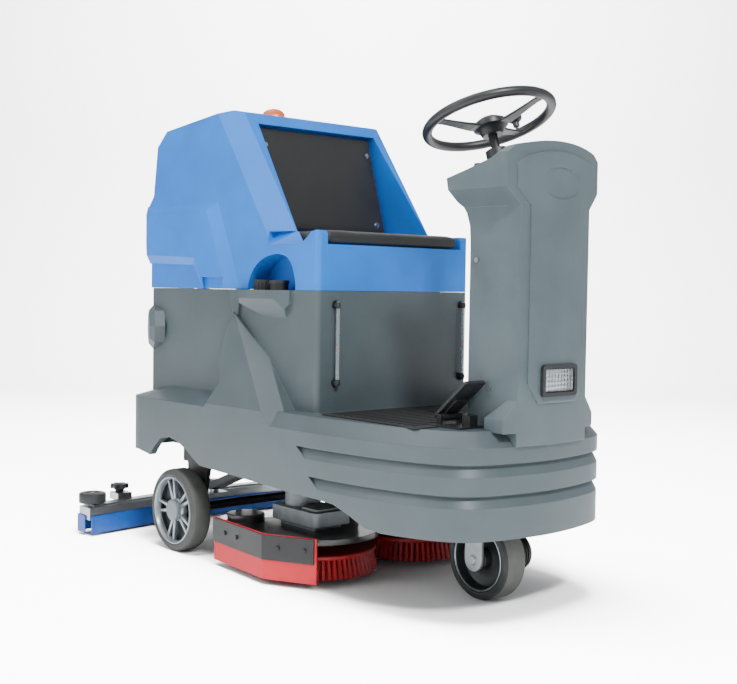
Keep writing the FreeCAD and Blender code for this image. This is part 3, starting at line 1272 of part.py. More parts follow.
def seat_recess():
    """Space between the wings: over the cushion and in front of the backrest."""
    low = ARM_TOP - CUSHION_T
    xt, zt = BACK_TOP
    xf, zf = BACK_FOOT
    outline = [(xt, zt), (xf, zf), (xf, low), (SEAT_FRONT + 40, low), (SEAT_FRONT + 40, 1400),
               (xt + 160, 1400), (xt + 160, zt)]
    space = side_prism(outline, -RECESS_HALF, RECESS_HALF)
    lean = (RECESS_HALF - 206) / (zt - ARM_TOP)
    for side in (-1, 1):
        upper = trim(space, (0, side * RECESS_HALF, ARM_TOP), (0, side, lean))
        space = upper
    return space


ARCH = ((250.0, 735.0), (262.0, 772.0), (292.0, 803.0), (340.0, 823.0), (388.0, 827.0),
        (426.0, 815.0), (447.0, 786.0), (457.0, 735.0))


def filler_arch():
    """Arched recess over the filler pocket."""
    out, deep = -CABIN_HALF - 60, CABIN_HALF - 62
    curve = Part.BSplineCurve()
    curve.interpolate(Points=[V(x, out, z) for x, z in ARCH])
    foot = Part.makePolygon([V(ARCH[-1][0], out, ARCH[-1][1]), V(ARCH[-1][0], out, SEAM_Z - 9),
                             V(ARCH[0][0], out, SEAM_Z - 9), V(ARCH[0][0], out, ARCH[0][1])])
    return Part.Face(Part.Wire([curve.toShape()] + foot.Edges)).extrude(V(0, -deep - out, 0))


def tank_outside():
    """Outer form of the recovery tank."""
    body = side_prism(tank_profile(0), -CABIN_HALF, CABIN_HALF)
    xf, zf = TANK_TOP_FRONT
    for side in (-1, 1):
        # wide chamfer down the wing, from its slanted front edge back onto the side
        a = V(xf, side * 234, zf)
        b = V(WING_FOOT_X, side * 234, ARM_TOP)
        c = V(352, side * CABIN_HALF, 855)
        normal = b.sub(a).cross(c.sub(a)).normalize()
        if normal.y * side < 0:
            normal = normal.negative()
        cutter = side_prism([(100, 1300), (100, ARM_TOP - 34), (WING_FOOT_X + 60, ARM_TOP - 34),
                             (WING_FOOT_X + 60, 1300)], *sorted((0, side * 400)))
        wing = trim(body.common(cutter), tuple(a), tuple(normal))
        body = body.cut(cutter).fuse(wing)
        # chamfer along the top of the arm rest, ending in a diagonal before the front
        edge = side_prism([(340, 853), (478, 853), (536, ARM_TOP + 1), (340, ARM_TOP + 1)],
                          *sorted((side * 200, side * 300)))
        kept = trim(body.common(edge), (0, side * 234, ARM_TOP), (0, side * 0.742, 0.67))
        body = body.cut(edge).fuse(kept)
    body = body.removeSplitter()
    corners = [e for e in body.Edges
               if upright(e) and e.BoundBox.XMin > SEAT_FRONT - 2 and e.BoundBox.ZLength > 60]
    if corners:
        body = body.makeFillet(14, corners)
    return joined([body] + both(raised_panel()))




def top_slope():
    """Lean of the tank's top, in radians."""
    return math.atan2(TANK_TOP_FRONT[1] - 3 - TANK_TOP_REAR[1], TANK_TOP_FRONT[0] - 36 - TANK_TOP_REAR[0])


def on_top(shape):
    """Moves a shape drawn on a flat top to the tank's sloping one."""
    moved = shape.copy()
    turn = FreeCAD.Rotation(V(0, 1, 0), -math.degrees(top_slope()))
    place = FreeCAD.Placement(V(TANK_TOP_REAR[0], 0, TANK_TOP_REAR[1]), turn)
    moved.Placement = place.multiply(moved.Placement)
    return moved


def ceiling(x):
    """Height of the inside of the tank's top at a place along it."""
    return TANK_TOP_REAR[1] + (x - TANK_TOP_REAR[0]) * math.tan(top_slope()) - SHELL - 1


def recovery_tank():
    """Hollow recovery tank that carries the seat."""
    body = tank_outside().cut(seat_recess())
    body = body.cut(filler_arch())
    inset = SHELL
    low = ARM_TOP - CUSHION_T
    hollow = side_prism([(REAR_FACE + inset, TANK_LOW + inset), (REAR_FACE + inset, 990), (-208, 1140),
                         (-158, ceiling(-158)), (112, ceiling(112)), (124, 1180),
                         (BACK_FOOT[0] - 12, ARM_TOP), (BACK_FOOT[0] - 10, low - inset),
                         (SEAT_FRONT - inset, low - inset), (SEAT_FRONT - inset, TANK_LOW + inset)],
                        70 + inset - CABIN_HALF, CABIN_HALF - inset)
    side_room = side_prism([(REAR_FACE + inset, TANK_LOW + inset), (REAR_FACE + inset, 990), (-208, 1140),
                            (-158, ceiling(-158)), (112, ceiling(112)), (124, 1180),
                            (POCKET_X[0] - 12, 900), (POCKET_X[0] - 12, TANK_LOW + inset)],
                           inset - CABIN_HALF, 0)
    body = body.cut(hollow.fuse(side_room))
    body = body.cut(on_top(slab(22, 96, -130, 130, -40, 40, 14)))
    lugs = []
    for y in (-76.0, 76.0):
        lug = block(HINGE_X - 8, REAR_FACE + 4, y - 14, y + 14, SEAM_Z - 10, SEAM_Z + 30)
        lug = lug.fuse(rod(8, (HINGE_X, y - 14, SEAM_Z - 10), (HINGE_X, y + 14, SEAM_Z - 10)))
        lug = lug.cut(rod(HINGE_PIN + RUN, (HINGE_X, y - 20, SEAM_Z - 10), (HINGE_X, y + 20, SEAM_Z - 10)))
        lugs.append(lug)
    spigot = tube(22, 18, (REAR_FACE + 4, 150, 790), (REAR_FACE - 36, 150, 790))
    port = rod(18, (REAR_FACE + 20, 150, 790), (REAR_FACE - 40, 150, 790))
    body = joined([body, lid_knuckles()] + lugs + [spigot]).cut(port)
    for y, z in BACK_BOLTS:
        body = body.cut(back_rod(y, z, 3.5, -30, 10))
    return body


BACK_BOLTS = ((-180.0, 1124.0), (180.0, 1124.0), (-190.0, 922.0), (190.0, 922.0))


def back_point(z, out):
    """Point on the backrest plane at a height, moved out from it."""
    (xt, zt), (xf, zf) = BACK_TOP, BACK_FOOT
    share = (zt - z) / (zt - zf)
    span = math.hypot(xf - xt, zt - zf)
    nx, nz = (zt - zf) / span, (xf - xt) / span
    return xt + share * (xf - xt) + out * nx, z + out * nz


def back_rod(y, z, radius, start, end):
    """Cylinder square to the backrest."""
    x0, z0 = back_point(z, start)
    x1, z1 = back_point(z, end)
    return rod(radius, (x0, y, z0), (x1, y, z1))


def backrest_pad():
    """Black backrest pad between the wings."""
    zt, zf = BACK_TOP[1], BACK_FOOT[1]
    top_x, top_z = back_point(zt - 6, NEAR)
    foot_x, foot_z = back_point(zf + 8, NEAR)
    out_top = back_point(zt - 6, BACK_PAD_T)
    out_foot = back_point(zf + 8, BACK_PAD_T)
    pad = side_prism([(top_x, top_z), (foot_x, foot_z), out_foot, out_top], -RECESS_HALF, RECESS_HALF)
    lean = (RECESS_HALF - 206) / (zt - ARM_TOP)
    for side in (-1, 1):
        pad = trim(pad, (0, side * (RECESS_HALF - 5), ARM_TOP), (0, side, lean))
    for y, z in BACK_BOLTS:
        pad = pad.cut(back_rod(y, z, 4.2, -5, BACK_PAD_T + 5))
    return pad


def backrest_bolts():
    """Bolts with washers that hold the backrest pad."""
    bolts = []
    for y, z in BACK_BOLTS:
        bolts.append(joined([back_rod(y, z, 3.5, -20, BACK_PAD_T + 1),
                             back_rod(y, z, 9, BACK_PAD_T + NEAR, BACK_PAD_T + 2),
                             back_rod(y, z, 6, BACK_PAD_T + 1, BACK_PAD_T + 6)]))
    return group(bolts)


def seat_cushion():
    """Seat cushion in its recess."""
    low = ARM_TOP - CUSHION_T + NEAR
    pad = block(BACK_FOOT[0] + 34, SEAT_FRONT - 1, -RECESS_HALF + 2, RECESS_HALF - 2, low, ARM_TOP - 1)
    return rounded(pad, 10, lambda e: e.BoundBox.ZLength < 1 and e.BoundBox.ZMin > ARM_TOP - 4)


def beacon_base():
    """Black foot of the warning beacon."""
    return on_top(rod(BEACON_R + 4, (BEACON_AT, 0, NEAR), (BEACON_AT, 0, 12)))


BEACON_AT = 165.0


def beacon_dome():
    """Amber beacon dome."""
    low = 12 + NEAR
    body = Part.makeCone(BEACON_R, BEACON_R - 4, BEACON_H - low - 12, V(BEACON_AT, 0, low))
    cap = Part.makeCylinder(BEACON_R - 4, 12, V(BEACON_AT, 0, BEACON_H - 12 - NEAR))
    cap = cap.makeFillet(9, [e for e in cap.Edges if e.BoundBox.ZMin > BEACON_H - 2])
    return on_top(joined([body, cap]))


def vacuum_motor():
    """Suction motor hung under the tank's top."""
    along, y = 200.0, 150.0
    top = -(SHELL + 1) * math.cos(top_slope()) - NEAR
    can = rod(56, (along, y, top - 112), (along, y, top - 12))
    flange = rod(64, (along, y, top - 14), (along, y, top))
    inlet = tube(20, 16, (along, y, top - 140), (along, y, top - 110))
    return on_top(joined([can, flange, inlet]))


def lid_knuckles():
    """Two knuckles on the tank's top with the pin of the lid's hinge."""
    parts = [rod(LID_PIN, (LID_HINGE[0], -54, LID_HINGE[1]), (LID_HINGE[0], 54, LID_HINGE[1]))]
    for y0, y1 in ((-54, -41), (41, 54)):
        knuckle = rod(LID_BARREL - 0.7, (LID_HINGE[0], y0, LID_HINGE[1]), (LID_HINGE[0], y1, LID_HINGE[1]))
        parts.append(knuckle)
        parts.append(block(0.2, 7.6, y0, y1, -3, LID_HINGE[1]))
    return on_top(joined(parts))


def tank_lid():
    """Hinged inspection lid on the tank's top, with its hinge barrel."""
    lid = slab(8, 8 + LID_LENGTH, -LID_WIDTH / 2, LID_WIDTH / 2, NEAR, LID_T, 14)
    grip = slab(8 + LID_LENGTH - 4, 8 + LID_LENGTH + 12, -34, 34, 4, LID_T - 2, 5)
    barrel = rod(LID_BARREL, (LID_HINGE[0], -40, LID_HINGE[1]), (LID_HINGE[0], 40, LID_HINGE[1]))
    bore = rod(LID_PIN + RUN, (LID_HINGE[0], -60, LID_HINGE[1]), (LID_HINGE[0], 60, LID_HINGE[1]))
    return on_top(joined([lid, grip, barrel]).cut(bore))


def body_fasteners():
    """Screws on the column and the pins of the tank's hinges."""
    parts = []
    for side in (-1, 1):
        y = side * COLUMN_HALF
        parts.append(rod(6, (947, y, 811), (947, y + side * 3, 811)))
        parts.append(rod(5, (992, y, 522), (992, y + side * 3, 522)))
    for y0, y1 in ((-101, -51), (51, 101)):
        parts.append(rod(HINGE_PIN, (HINGE_X, y0, SEAM_Z - 10), (HINGE_X, y1, SEAM_Z - 10)))
    return group(parts)


NODES = {
    "chassis_frame": chassis_frame, "lower_body": lower_body, "front_column": column_with_openings,
    "dash_panel": dash_panel, "headlight_housing": headlight_housing, "headlight_lens": headlight_lens,
    "battery_pack": battery_pack, "level_tubes": level_tubes, "level_fittings": level_fittings,
    "floor_mat": floor_mat, "filler_neck": filler_neck, "pedal_base": pedal_base,
    "rear_axle": rear_axle, "deck_actuator": deck_actuator, "steering_chain": steering_chain,
    "body_fasteners": body_fasteners,
    "recovery_tank": recovery_tank, "backrest_pad": backrest_pad, "backrest_bolts": backrest_bolts,
    "seat_cushion": seat_cushion, "beacon_base": beacon_base, "beacon_dome": beacon_dome,
    "vacuum_motor": vacuum_motor, "tank_lid": tank_lid, "filler_cap": filler_cap,
    "steering_wheel": steering_wheel, "steering_hub": steering_hub, "steering_shaft": steering_shaft,
    "spinner_knob": spinner_knob, "sprocket_shaft": sprocket_shaft,
    "drive_fork": drive_fork, "fork_sprocket": fork_sprocket, "drive_motor": drive_motor,
    "drive_tyre": drive_tyre, "drive_rim": drive_rim,
    "rear_tyre_right": rear_tyre, "rear_tyre_left": lambda: mirrored(rear_tyre()),
    "rear_rim_right": rear_rim, "rear_rim_left": lambda: mirrored(rear_rim()),
    "hub_cap_right": rear_hub_cap, "hub_cap_left": lambda: mirrored(rear_hub_cap()),
    "pedal_pad": pedal_pad,
    "lower_links": lambda: links(LINK_LOW_Z, True),
    "upper_links": lambda: links(LINK_LOW_Z + LINK_SPACE, False),
    "actuator_rod": actuator_rod, "deck_housing": deck_housing, "brush_motors": brush_motors,
    "skirt_plates": skirt_plates, "skirts": skirts,
    "brush_right": lambda: brush(-1), "brush_left": lambda: brush(1),
    "squeegee_arm": squeegee_arm, "squeegee_body": squeegee_body, "squeegee_blades": squeegee_blades,
    "squeegee_knob_right": lambda: squeegee_knob(-1), "squeegee_knob_left": lambda: squeegee_knob(1),
    "guide_roller_right": lambda: guide_roller(-1), "guide_roller_left": lambda: guide_roller(1),
    "key_switch": key_switch, "emergency_stop": emergency_stop,
}


def overall_shift(shapes):
    """Vector that brings the middle of the overall box's underside to the origin."""
    boxes = [s.optimalBoundingBox(False, False) for s in shapes]
    x0 = min(b.XMin for b in boxes)
    x1 = max(b.XMax for b in boxes)
    y0 = min(b.YMin for b in boxes)
    y1 = max(b.YMax for b in boxes)
    return V(-(x0 + x1) / 2, -(y0 + y1) / 2, -min(b.ZMin for b in boxes))


def main():
    """Builds every sub-part and writes it."""
    os.makedirs("parts", exist_ok=True)
    shapes = {name: make() for name, make in NODES.items()}
    shift = overall_shift(shapes.values())
    print("shift", shift)
    for name, shape in shapes.items():
        shape = shape.copy()
        shape.translate(shift)
        if not shape.isValid():
            print("not valid:", name)
        print(name, len(shape.Solids), round(shape.Volume / 1000, 1))
        shape.exportStep(f"parts/{name}.step")


if __name__ == "__main__":
    main()
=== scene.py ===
"""Looks of the ride-on scrubber, built round its fixed frame."""

import json
import logging
import math
from dataclasses import dataclass
from enum import Enum
from typing import Callable, Iterable, Sequence

import bmesh
import bpy
from bmesh.types import BMesh
from mathutils import Matrix, Vector

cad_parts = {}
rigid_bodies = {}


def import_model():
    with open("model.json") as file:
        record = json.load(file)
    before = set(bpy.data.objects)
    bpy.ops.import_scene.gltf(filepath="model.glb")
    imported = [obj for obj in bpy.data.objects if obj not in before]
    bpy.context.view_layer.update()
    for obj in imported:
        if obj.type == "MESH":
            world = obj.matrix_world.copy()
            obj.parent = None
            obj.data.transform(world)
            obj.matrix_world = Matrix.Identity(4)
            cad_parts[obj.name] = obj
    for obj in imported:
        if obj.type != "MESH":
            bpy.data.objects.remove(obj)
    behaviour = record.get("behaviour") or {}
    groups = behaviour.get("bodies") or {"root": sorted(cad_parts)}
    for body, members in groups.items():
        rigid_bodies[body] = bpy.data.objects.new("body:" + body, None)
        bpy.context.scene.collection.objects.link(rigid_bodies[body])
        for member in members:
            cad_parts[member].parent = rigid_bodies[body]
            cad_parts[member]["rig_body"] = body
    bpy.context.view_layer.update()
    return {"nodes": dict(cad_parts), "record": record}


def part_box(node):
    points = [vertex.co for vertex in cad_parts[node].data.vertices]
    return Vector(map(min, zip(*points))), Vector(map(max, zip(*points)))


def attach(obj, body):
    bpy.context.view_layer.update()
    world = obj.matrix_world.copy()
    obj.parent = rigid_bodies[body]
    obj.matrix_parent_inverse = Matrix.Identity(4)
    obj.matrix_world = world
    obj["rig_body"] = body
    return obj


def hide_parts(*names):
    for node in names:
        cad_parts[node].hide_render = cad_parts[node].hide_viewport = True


MM = 0.001
AXLE_X = -338.5      # the rear axle stands here along the frame, mm
LOG = logging.getLogger("scrubber")
Profile = Sequence[tuple[float, float]]


# ---- helpers: places and colours ------------------------------------------------------
def at(x: float, y: float, z: float) -> Vector:
    """Turns millimetres from the rear axle's middle, on the ground, into the frame.

    Args:
        x: Forward, mm.
        y: To the driver's left, mm.
        z: Up, mm.

    Returns:
        The point in metres.
    """
    return Vector(((x + AXLE_X) * MM, y * MM, z * MM))


def basis(origin: Vector, axis: Sequence[float], side: Sequence[float] = (1, 0, 0)) -> Matrix:
    """Makes a place for a piece that was built standing on its own Z.

    Args:
        origin: Where the piece's origin goes.
        axis: Where its Z points.
        side: Where its X points, as nearly as it can.

    Returns:
        The matrix of that place.
    """
    up = Vector(axis).normalized()
    along = (Vector(side) - Vector(side).dot(up) * up).normalized()
    turn = Matrix((along, up.cross(along), up)).transposed()
    return Matrix.Translation(origin) @ turn.to_4x4()


def linear(code: str) -> tuple[float, float, float, float]:
    """Turns an sRGB hex code into a linear colour.

    Args:
        code: Six hex digits.

    Returns:
        Linear red, green and blue, with full alpha.
    """
    shares = [int(code[i:i + 2], 16) / 255 for i in (0, 2, 4)]
    lit = [s / 12.92 if s <= 0.04045 else ((s + 0.055) / 1.055) ** 2.4 for s in shares]
    return (lit[0], lit[1], lit[2], 1.0)


def add(tree: bpy.types.NodeTree, kind: str, settings: dict | None = None, sockets: dict | None = None
        ) -> bpy.types.Node:
    """Adds a shader node with its settings, values and links.

    Args:
        tree: The material's tree.
        kind: The node's type.
        settings: Attribute names and values.
        sockets: Input names or numbers, each with a value or a (node, output) pair.

    Returns:
        The new node.
    """
    node = tree.nodes.new(kind)
    for name, value in (settings or {}).items():
        setattr(node, name, value)
    for key, value in (sockets or {}).items():
        if isinstance(value, tuple) and isinstance(value[0], bpy.types.Node):
            tree.links.new(value[0].outputs[value[1]], node.inputs[key])
        else:
            node.inputs[key].default_value = value
    return node


# ---- finishes -------------------------------------------------------------------------
class Pattern(Enum):
    """How a surface's grain runs."""

    MOULDED = "moulded"      # pebbled skin of a moulding
    BRUSHED = "brushed"      # long fine lines
    LEATHER = "leather"      # cells of a vinyl or leather skin
    CAST = "cast"            # sandy skin of a casting
    STRANDS = "strands"      # upright fibres


STRETCH = {
    Pattern.MOULDED: (1.0, 1.0, 1.0),
    Pattern.BRUSHED: (1.0, 0.04, 1.0),
    Pattern.LEATHER: (1.0, 1.0, 1.0),
    Pattern.CAST: (1.0, 1.0, 1.0),
    Pattern.STRANDS: (1.0, 1.0, 0.06),
}


@dataclass(frozen=True)
class Finish:
    """One finish: a real material and how its surface was made.

    Args:
        name: What the finish is called.
        slot: The record's material slot.
        colour: Main colour, sRGB hex.
        worn: Colour of its paler or darker patches, sRGB hex.
        roughness: Middle roughness.
        spread: How far the roughness strays over the surface.
        metallic: 1 for bare metal.
        ior: Index of refraction; metals keep the default.
        pattern: How the grain runs.
        grain: Size of one grain, mm.
        depth: Height of the grain, mm.
        patch: Size of the soft colour patches, mm.
        coat: Share of clear gloss on top.
        clear: Share of light let through.
        sheen: Share of dusty sheen.
        soft: Radius that its sharp edges seem rounded to, mm.
    """

    name: str
    slot: str
    colour: str
    worn: str
    roughness: float
    spread: float = 0.06
    metallic: float = 0.0
    ior: float = 1.5
    pattern: Pattern = Pattern.MOULDED
    grain: float = 1.6
    depth: float = 0.05
    patch: float = 90.0
    coat: float = 0.0
    clear: float = 0.0
    sheen: float = 0.0
    soft: float = 0.0

    def grain_node(self, tree: bpy.types.NodeTree) -> bpy.types.Node:
        """Adds the texture of the grain.

        Args:
            tree: The material's tree.

        Returns:
            The texture node, whose first output is the height.
        """
        place = add(tree, "ShaderNodeTexCoord")
        mapped = add(tree, "ShaderNodeMapping", None,
                     {"Vector": (place, "Object"), "Scale": STRETCH[self.pattern]})
        scale = 1.0 / (self.grain * MM)
        if self.pattern is Pattern.LEATHER:
            return add(tree, "ShaderNodeTexVoronoi", {"feature": "DISTANCE_TO_EDGE"},
                       {"Vector": (mapped, "Vector"), "Scale": scale})
        return add(tree, "ShaderNodeTexNoise", None,
                   {"Vector": (mapped, "Vector"), "Scale": scale, "Detail": 3.0})

    def build(self) -> bpy.types.Material:
        """Makes the material, once.

        Returns:
            The material.
        """
        made = bpy.data.materials.get(self.name)
        if made:
            return made
        made = bpy.data.materials.new(self.name)
        made.use_nodes = True
        tree = made.node_tree
        shader = tree.nodes["Principled BSDF"]
        place = add(tree, "ShaderNodeTexCoord")
        cloud = add(tree, "ShaderNodeTexNoise", None,
                    {"Vector": (place, "Object"), "Scale": 1.0 / (self.patch * MM), "Detail": 4.0,
                     "Roughness": 0.6})
        ramp = add(tree, "ShaderNodeMapRange", None,
                   {"Value": (cloud, 0), "From Min": 0.35, "From Max": 0.7, "To Min": 0.0, "To Max": 1.0})
        grain = self.grain_node(tree)
        fine = add(tree, "ShaderNodeMath", {"operation": "MULTIPLY_ADD"},
                   {0: (grain, 0), 1: 0.35, 2: (ramp, 0)})
        mix = add(tree, "ShaderNodeMix", {"data_type": "RGBA"},
                  {0: (fine, 0), 6: linear(self.colour), 7: linear(self.worn)})
        tree.links.new(mix.outputs[2], shader.inputs["Base Color"])
        rough = add(tree, "ShaderNodeMapRange", None,
                    {"Value": (fine, 0), "From Min": 0.0, "From Max": 1.2,
                     "To Min": self.roughness - self.spread, "To Max": self.roughness + self.spread})
        tree.links.new(rough.outputs[0], shader.inputs["Roughness"])
        bump = add(tree, "ShaderNodeBump", None,
                   {"Height": (grain, 0), "Distance": self.depth * MM, "Strength": 0.6})
        if self.soft:
            worn_edge = add(tree, "ShaderNodeBevel", {"samples": 6}, {"Radius": self.soft * MM})
            tree.links.new(worn_edge.outputs[0], bump.inputs["Normal"])
        tree.links.new(bump.outputs[0], shader.inputs["Normal"])
        shader.inputs["Metallic"].default_value = self.metallic
        if not self.metallic:
            shader.inputs["IOR"].default_value = self.ior
        shader.inputs["Coat Weight"].default_value = self.coat
        shader.inputs["Coat Roughness"].default_value = 0.12
        shader.inputs["Transmission Weight"].default_value = self.clear
        shader.inputs["Sheen Weight"].default_value = self.sheen
        return made


# Rotomoulded polyethylene: satin, with a faint orange-peel and pale scuffs.
TANK_BLUE = Finish("rotomoulded_pe_blue", "tank_blue", "0062BC", "006ECB", 0.42, grain=2.4, depth=0.04,
                   patch=160, soft=3.5)
BODY_GREY = Finish("rotomoulded_pe_grey", "body_grey", "3C474B", "434F54", 0.44, grain=2.4, depth=0.05,
                   patch=160, soft=3.0)
PANEL_GREY = Finish("moulded_abs_grey", "body_grey", "434F54", "4A575C", 0.38, grain=1.4, depth=0.03,
                    patch=120, soft=2.5)
# Powder coat: an even black skin with a sandy sparkle.
FRAME_BLACK = Finish("powder_coat_black", "frame_black", "0A0B0D", "101214", 0.5, pattern=Pattern.CAST,
                     grain=1.2,
                     depth=0.04, patch=70, soft=1.0)
GLOSS_BLACK = Finish("gloss_enamel_black", "frame_black", "040505", "070808", 0.5, pattern=Pattern.CAST,
                     grain=2.0,
                     depth=0.02, patch=80, coat=0.6, soft=1.0)
# Injection moulded nylon: dark grey-black with a fine spark-eroded grain.
NYLON = Finish("moulded_nylon_black", "black_plastic", "141618", "1C1F22", 0.5, grain=0.9, depth=0.05,
               patch=50, soft=0.8)
PAD = Finish("skinned_polyurethane", "pad_black", "0A0B0D", "0F1113", 0.6, pattern=Pattern.LEATHER, grain=2.2,
             depth=0.12, patch=60, sheen=0.15)
CLEAR = Finish("clear_polycarbonate", "clear_lens", "F4F8FA", "E6EEF2", 0.06, 0.02, ior=1.58, grain=3.0,
               depth=0.0,
               clear=0.95)
TUBE = Finish("clear_pvc_tube", "clear_tube", "E4EEF2", "D3E0E6", 0.12, 0.03, ior=1.53, grain=4.0, depth=0.01,
              clear=0.85)
BATTERY = Finish("moulded_polypropylene", "battery_case", "2A2D31", "33373B", 0.5, grain=1.2, depth=0.05)
MAT = Finish("ribbed_rubber", "mat_rubber", "0E1011", "151719", 0.75, pattern=Pattern.BRUSHED, grain=5.0,
             depth=0.6)
# Zinc plate: thin bluish lustre over turned steel.
ZINC = Finish("zinc_plated_steel", "zinc_steel", "B9BEC2", "9AA0A5", 0.3, metallic=1.0, pattern=Pattern.CAST,
              grain=0.8, depth=0.02, patch=12)
MIRROR = Finish("chromed_reflector", "zinc_steel", "E8EAEC", "DDE0E3", 0.12, metallic=1.0,
                pattern=Pattern.CAST,
                grain=6.0, depth=0.02, patch=20)
AMBER = Finish("amber_polycarbonate", "amber_lens", "FF5A12", "FF7A2C", 0.14, 0.04, ior=1.58, grain=4.0,
               depth=0.02,
               patch=30, clear=0.35)
WHEEL_BLACK = Finish("moulded_pvc_black", "wheel_black", "16181A", "1F2224", 0.42, grain=1.0, depth=0.06,
                     patch=40)
# Blasted steel under clear lacquer: pale, fine grained.
FORK_STEEL = Finish("blasted_steel", "fork_steel", "A4AAAE", "90979B", 0.42, metallic=0.6,
                    pattern=Pattern.CAST,
                    grain=1.0, depth=0.05, patch=40, soft=1.0)
REAR_TREAD = Finish("grey_rubber_tread", "rear_tyre_grey", "3F413F", "484A46", 0.74, grain=1.8, depth=0.12,
                    patch=35)
REAR_WALL = Finish("grey_rubber_wall", "rear_tyre_grey", "333636", "3B3E3C", 0.64, grain=1.2, depth=0.05,
                   patch=35)
FRONT_TREAD = Finish("drive_rubber_tread", "drive_tyre_grey", "545653", "5E605C", 0.74, grain=1.8, depth=0.12,
                     patch=30)
FRONT_WALL = Finish("drive_rubber_wall", "drive_tyre_grey", "202526", "2A3031", 0.55, grain=1.2, depth=0.05,
                    patch=30)
RIM_SILVER = Finish("die_cast_silver", "rim_silver", "A9B0B6", "98A0A6", 0.34, metallic=0.75,
                    pattern=Pattern.CAST,
                    grain=1.2, depth=0.03, patch=30)
RIM_DARK = Finish("painted_dark_rim", "rim_dark", "1B1F22", "262B2E", 0.4, pattern=Pattern.CAST, grain=1.4,
                  depth=0.04, patch=30)
CAP_GREY = Finish("moulded_cap_grey", "cap_grey", "5C666D", "667077", 0.34, grain=1.4, depth=0.02, patch=30)
# Sand-cast aluminium: dull grey with a gritty skin.
CAST_GREY = Finish("sand_cast_aluminium", "cast_grey", "6E7478", "808689", 0.5, metallic=0.5,
                   pattern=Pattern.CAST,
                   grain=1.6, depth=0.12, patch=30, soft=1.5)
SKIRT_RED = Finish("red_natural_rubber", "skirt_red", "B4061A", "C01024", 0.6, grain=2.0, depth=0.06,
                   patch=60, soft=1.0)
BRISTLE = Finish("red_nylon_bristle", "bristle_red", "860610", "A81018", 0.5, pattern=Pattern.STRANDS,
                 grain=1.2,
                 depth=0.2, patch=14)
ALLOY = Finish("anodised_aluminium", "squeegee_alloy", "B4B9BD", "A3A9AE", 0.32, metallic=1.0,
               pattern=Pattern.BRUSHED, grain=0.9, depth=0.03, patch=60, soft=0.6)
BLADE = Finish("blue_polyurethane", "blade_blue", "04479A", "0A55AC", 0.42, grain=2.0, depth=0.04, patch=50,
               soft=0.8)
ROLLER = Finish("cast_polyurethane_black", "roller_black", "16181A", "202326", 0.5, grain=1.6, depth=0.06,
                patch=30)
STOP_RED = Finish("moulded_red_button", "button_red", "D01018", "E0242A", 0.3, grain=1.6, depth=0.02,
                  patch=20)
FINISHES = {f.slot: f for f in (
    FRAME_BLACK, BODY_GREY, TANK_BLUE, NYLON, PAD, CLEAR, TUBE, BATTERY, MAT, ZINC, AMBER, WHEEL_BLACK,
                                FORK_STEEL,
    REAR_TREAD, FRONT_WALL, RIM_SILVER, RIM_DARK, CAP_GREY, CAST_GREY, SKIRT_RED, BRISTLE, ALLOY, BLADE,
                                ROLLER,
    STOP_RED)}


# ---- helpers: meshes ------------------------------------------------------------------
def turned(profile: Profile, steps: int = 72, closed: bool = False) -> BMesh:
    """Spins a profile round Z.

    Args:
        profile: Radius and height of each point, mm.
        steps: Sides of the turned piece.
        closed: True if the last point joins the first.

    Returns:
        The turned mesh.
    """
    bm = bmesh.new()
    verts = [bm.verts.new((r * MM, 0.0, h * MM)) for r, h in profile]
    ring = verts[1:] + verts[:1] if closed else verts[1:]
    edges = [bm.edges.new(pair) for pair in zip(verts, ring)]
    bmesh.ops.spin(bm, geom=verts + edges, cent=(0, 0, 0), axis=(0, 0, 1), angle=math.tau, steps=steps,
                   use_merge=True)
    bmesh.ops.remove_doubles(bm, verts=bm.verts[:], dist=1e-6)
    bmesh.ops.recalc_face_normals(bm, faces=bm.faces[:])
    return bm


def plate(outline: Profile, thick: float, round_by: float = 0.0, segments: int = 2) -> BMesh:
    """Extrudes an outline up Z and rounds its edges.

    Args:
        outline: X and Y of each corner, mm.
        thick: Thickness, mm.
        round_by: Rounding of all edges, mm.
        segments: Steps of the rounding.

    Returns:
        The plate's mesh.
    """
    bm = bmesh.new()
    face = bm.faces.new([bm.verts.new((x * MM, y * MM, 0.0)) for x, y in outline])
    grown = bmesh.ops.extrude_face_region(bm, geom=[face])["geom"]
    raised = [v for v in grown if isinstance(v, bmesh.types.BMVert)]
    bmesh.ops.translate(bm, verts=raised, vec=(0, 0, thick * MM))
    bmesh.ops.recalc_face_normals(bm, faces=bm.faces[:])
    if round_by:
        soften(bm, bm.edges[:], round_by, segments)
    return bm


def soften(bm: BMesh, edges: Iterable, width: float, segments: int = 2) -> None:
    """Rounds edges by a width in mm."""
    bmesh.ops.bevel(bm, geom=list(edges), offset=width * MM, offset_type="OFFSET", segments=segments,
                    profile=0.5,
                    affect="EDGES", clamp_overlap=True, material=-1)


def ring_outline(radius: float, count: int, wave: float = 0.0, lobes: int = 1, phase: float = 0.0) -> Profile:
    """Points round a circle whose radius may swell in lobes.

    Args:
        radius: Mean radius, mm.
        count: Number of points.
        wave: Height of the lobes, mm.
        lobes: Number of lobes.
        phase: Angle of the first point, radians.

    Returns:
        X and Y of each point, mm.
    """
    out = []
    for i in range(count):
        a = math.tau * i / count
        r = radius + wave * math.cos(lobes * a)
        out.append((r * math.cos(a + phase), r * math.sin(a + phase)))
    return out


def rounded_box(size: Sequence[float], round_by: float, segments: int = 3) -> BMesh:
    """Makes a box about the origin with rounded edges.

    Args:
        size: Lengths along X, Y and Z, mm.
        round_by: Rounding, mm.
        segments: Steps of the rounding.

    Returns:
        The box's mesh.
    """
    bm = bmesh.new()
    bmesh.ops.create_cube(bm, size=1.0)
    bmesh.ops.scale(bm, vec=Vector(size) * MM, verts=bm.verts[:])
    soften(bm, bm.edges[:], round_by, segments)
    return bm


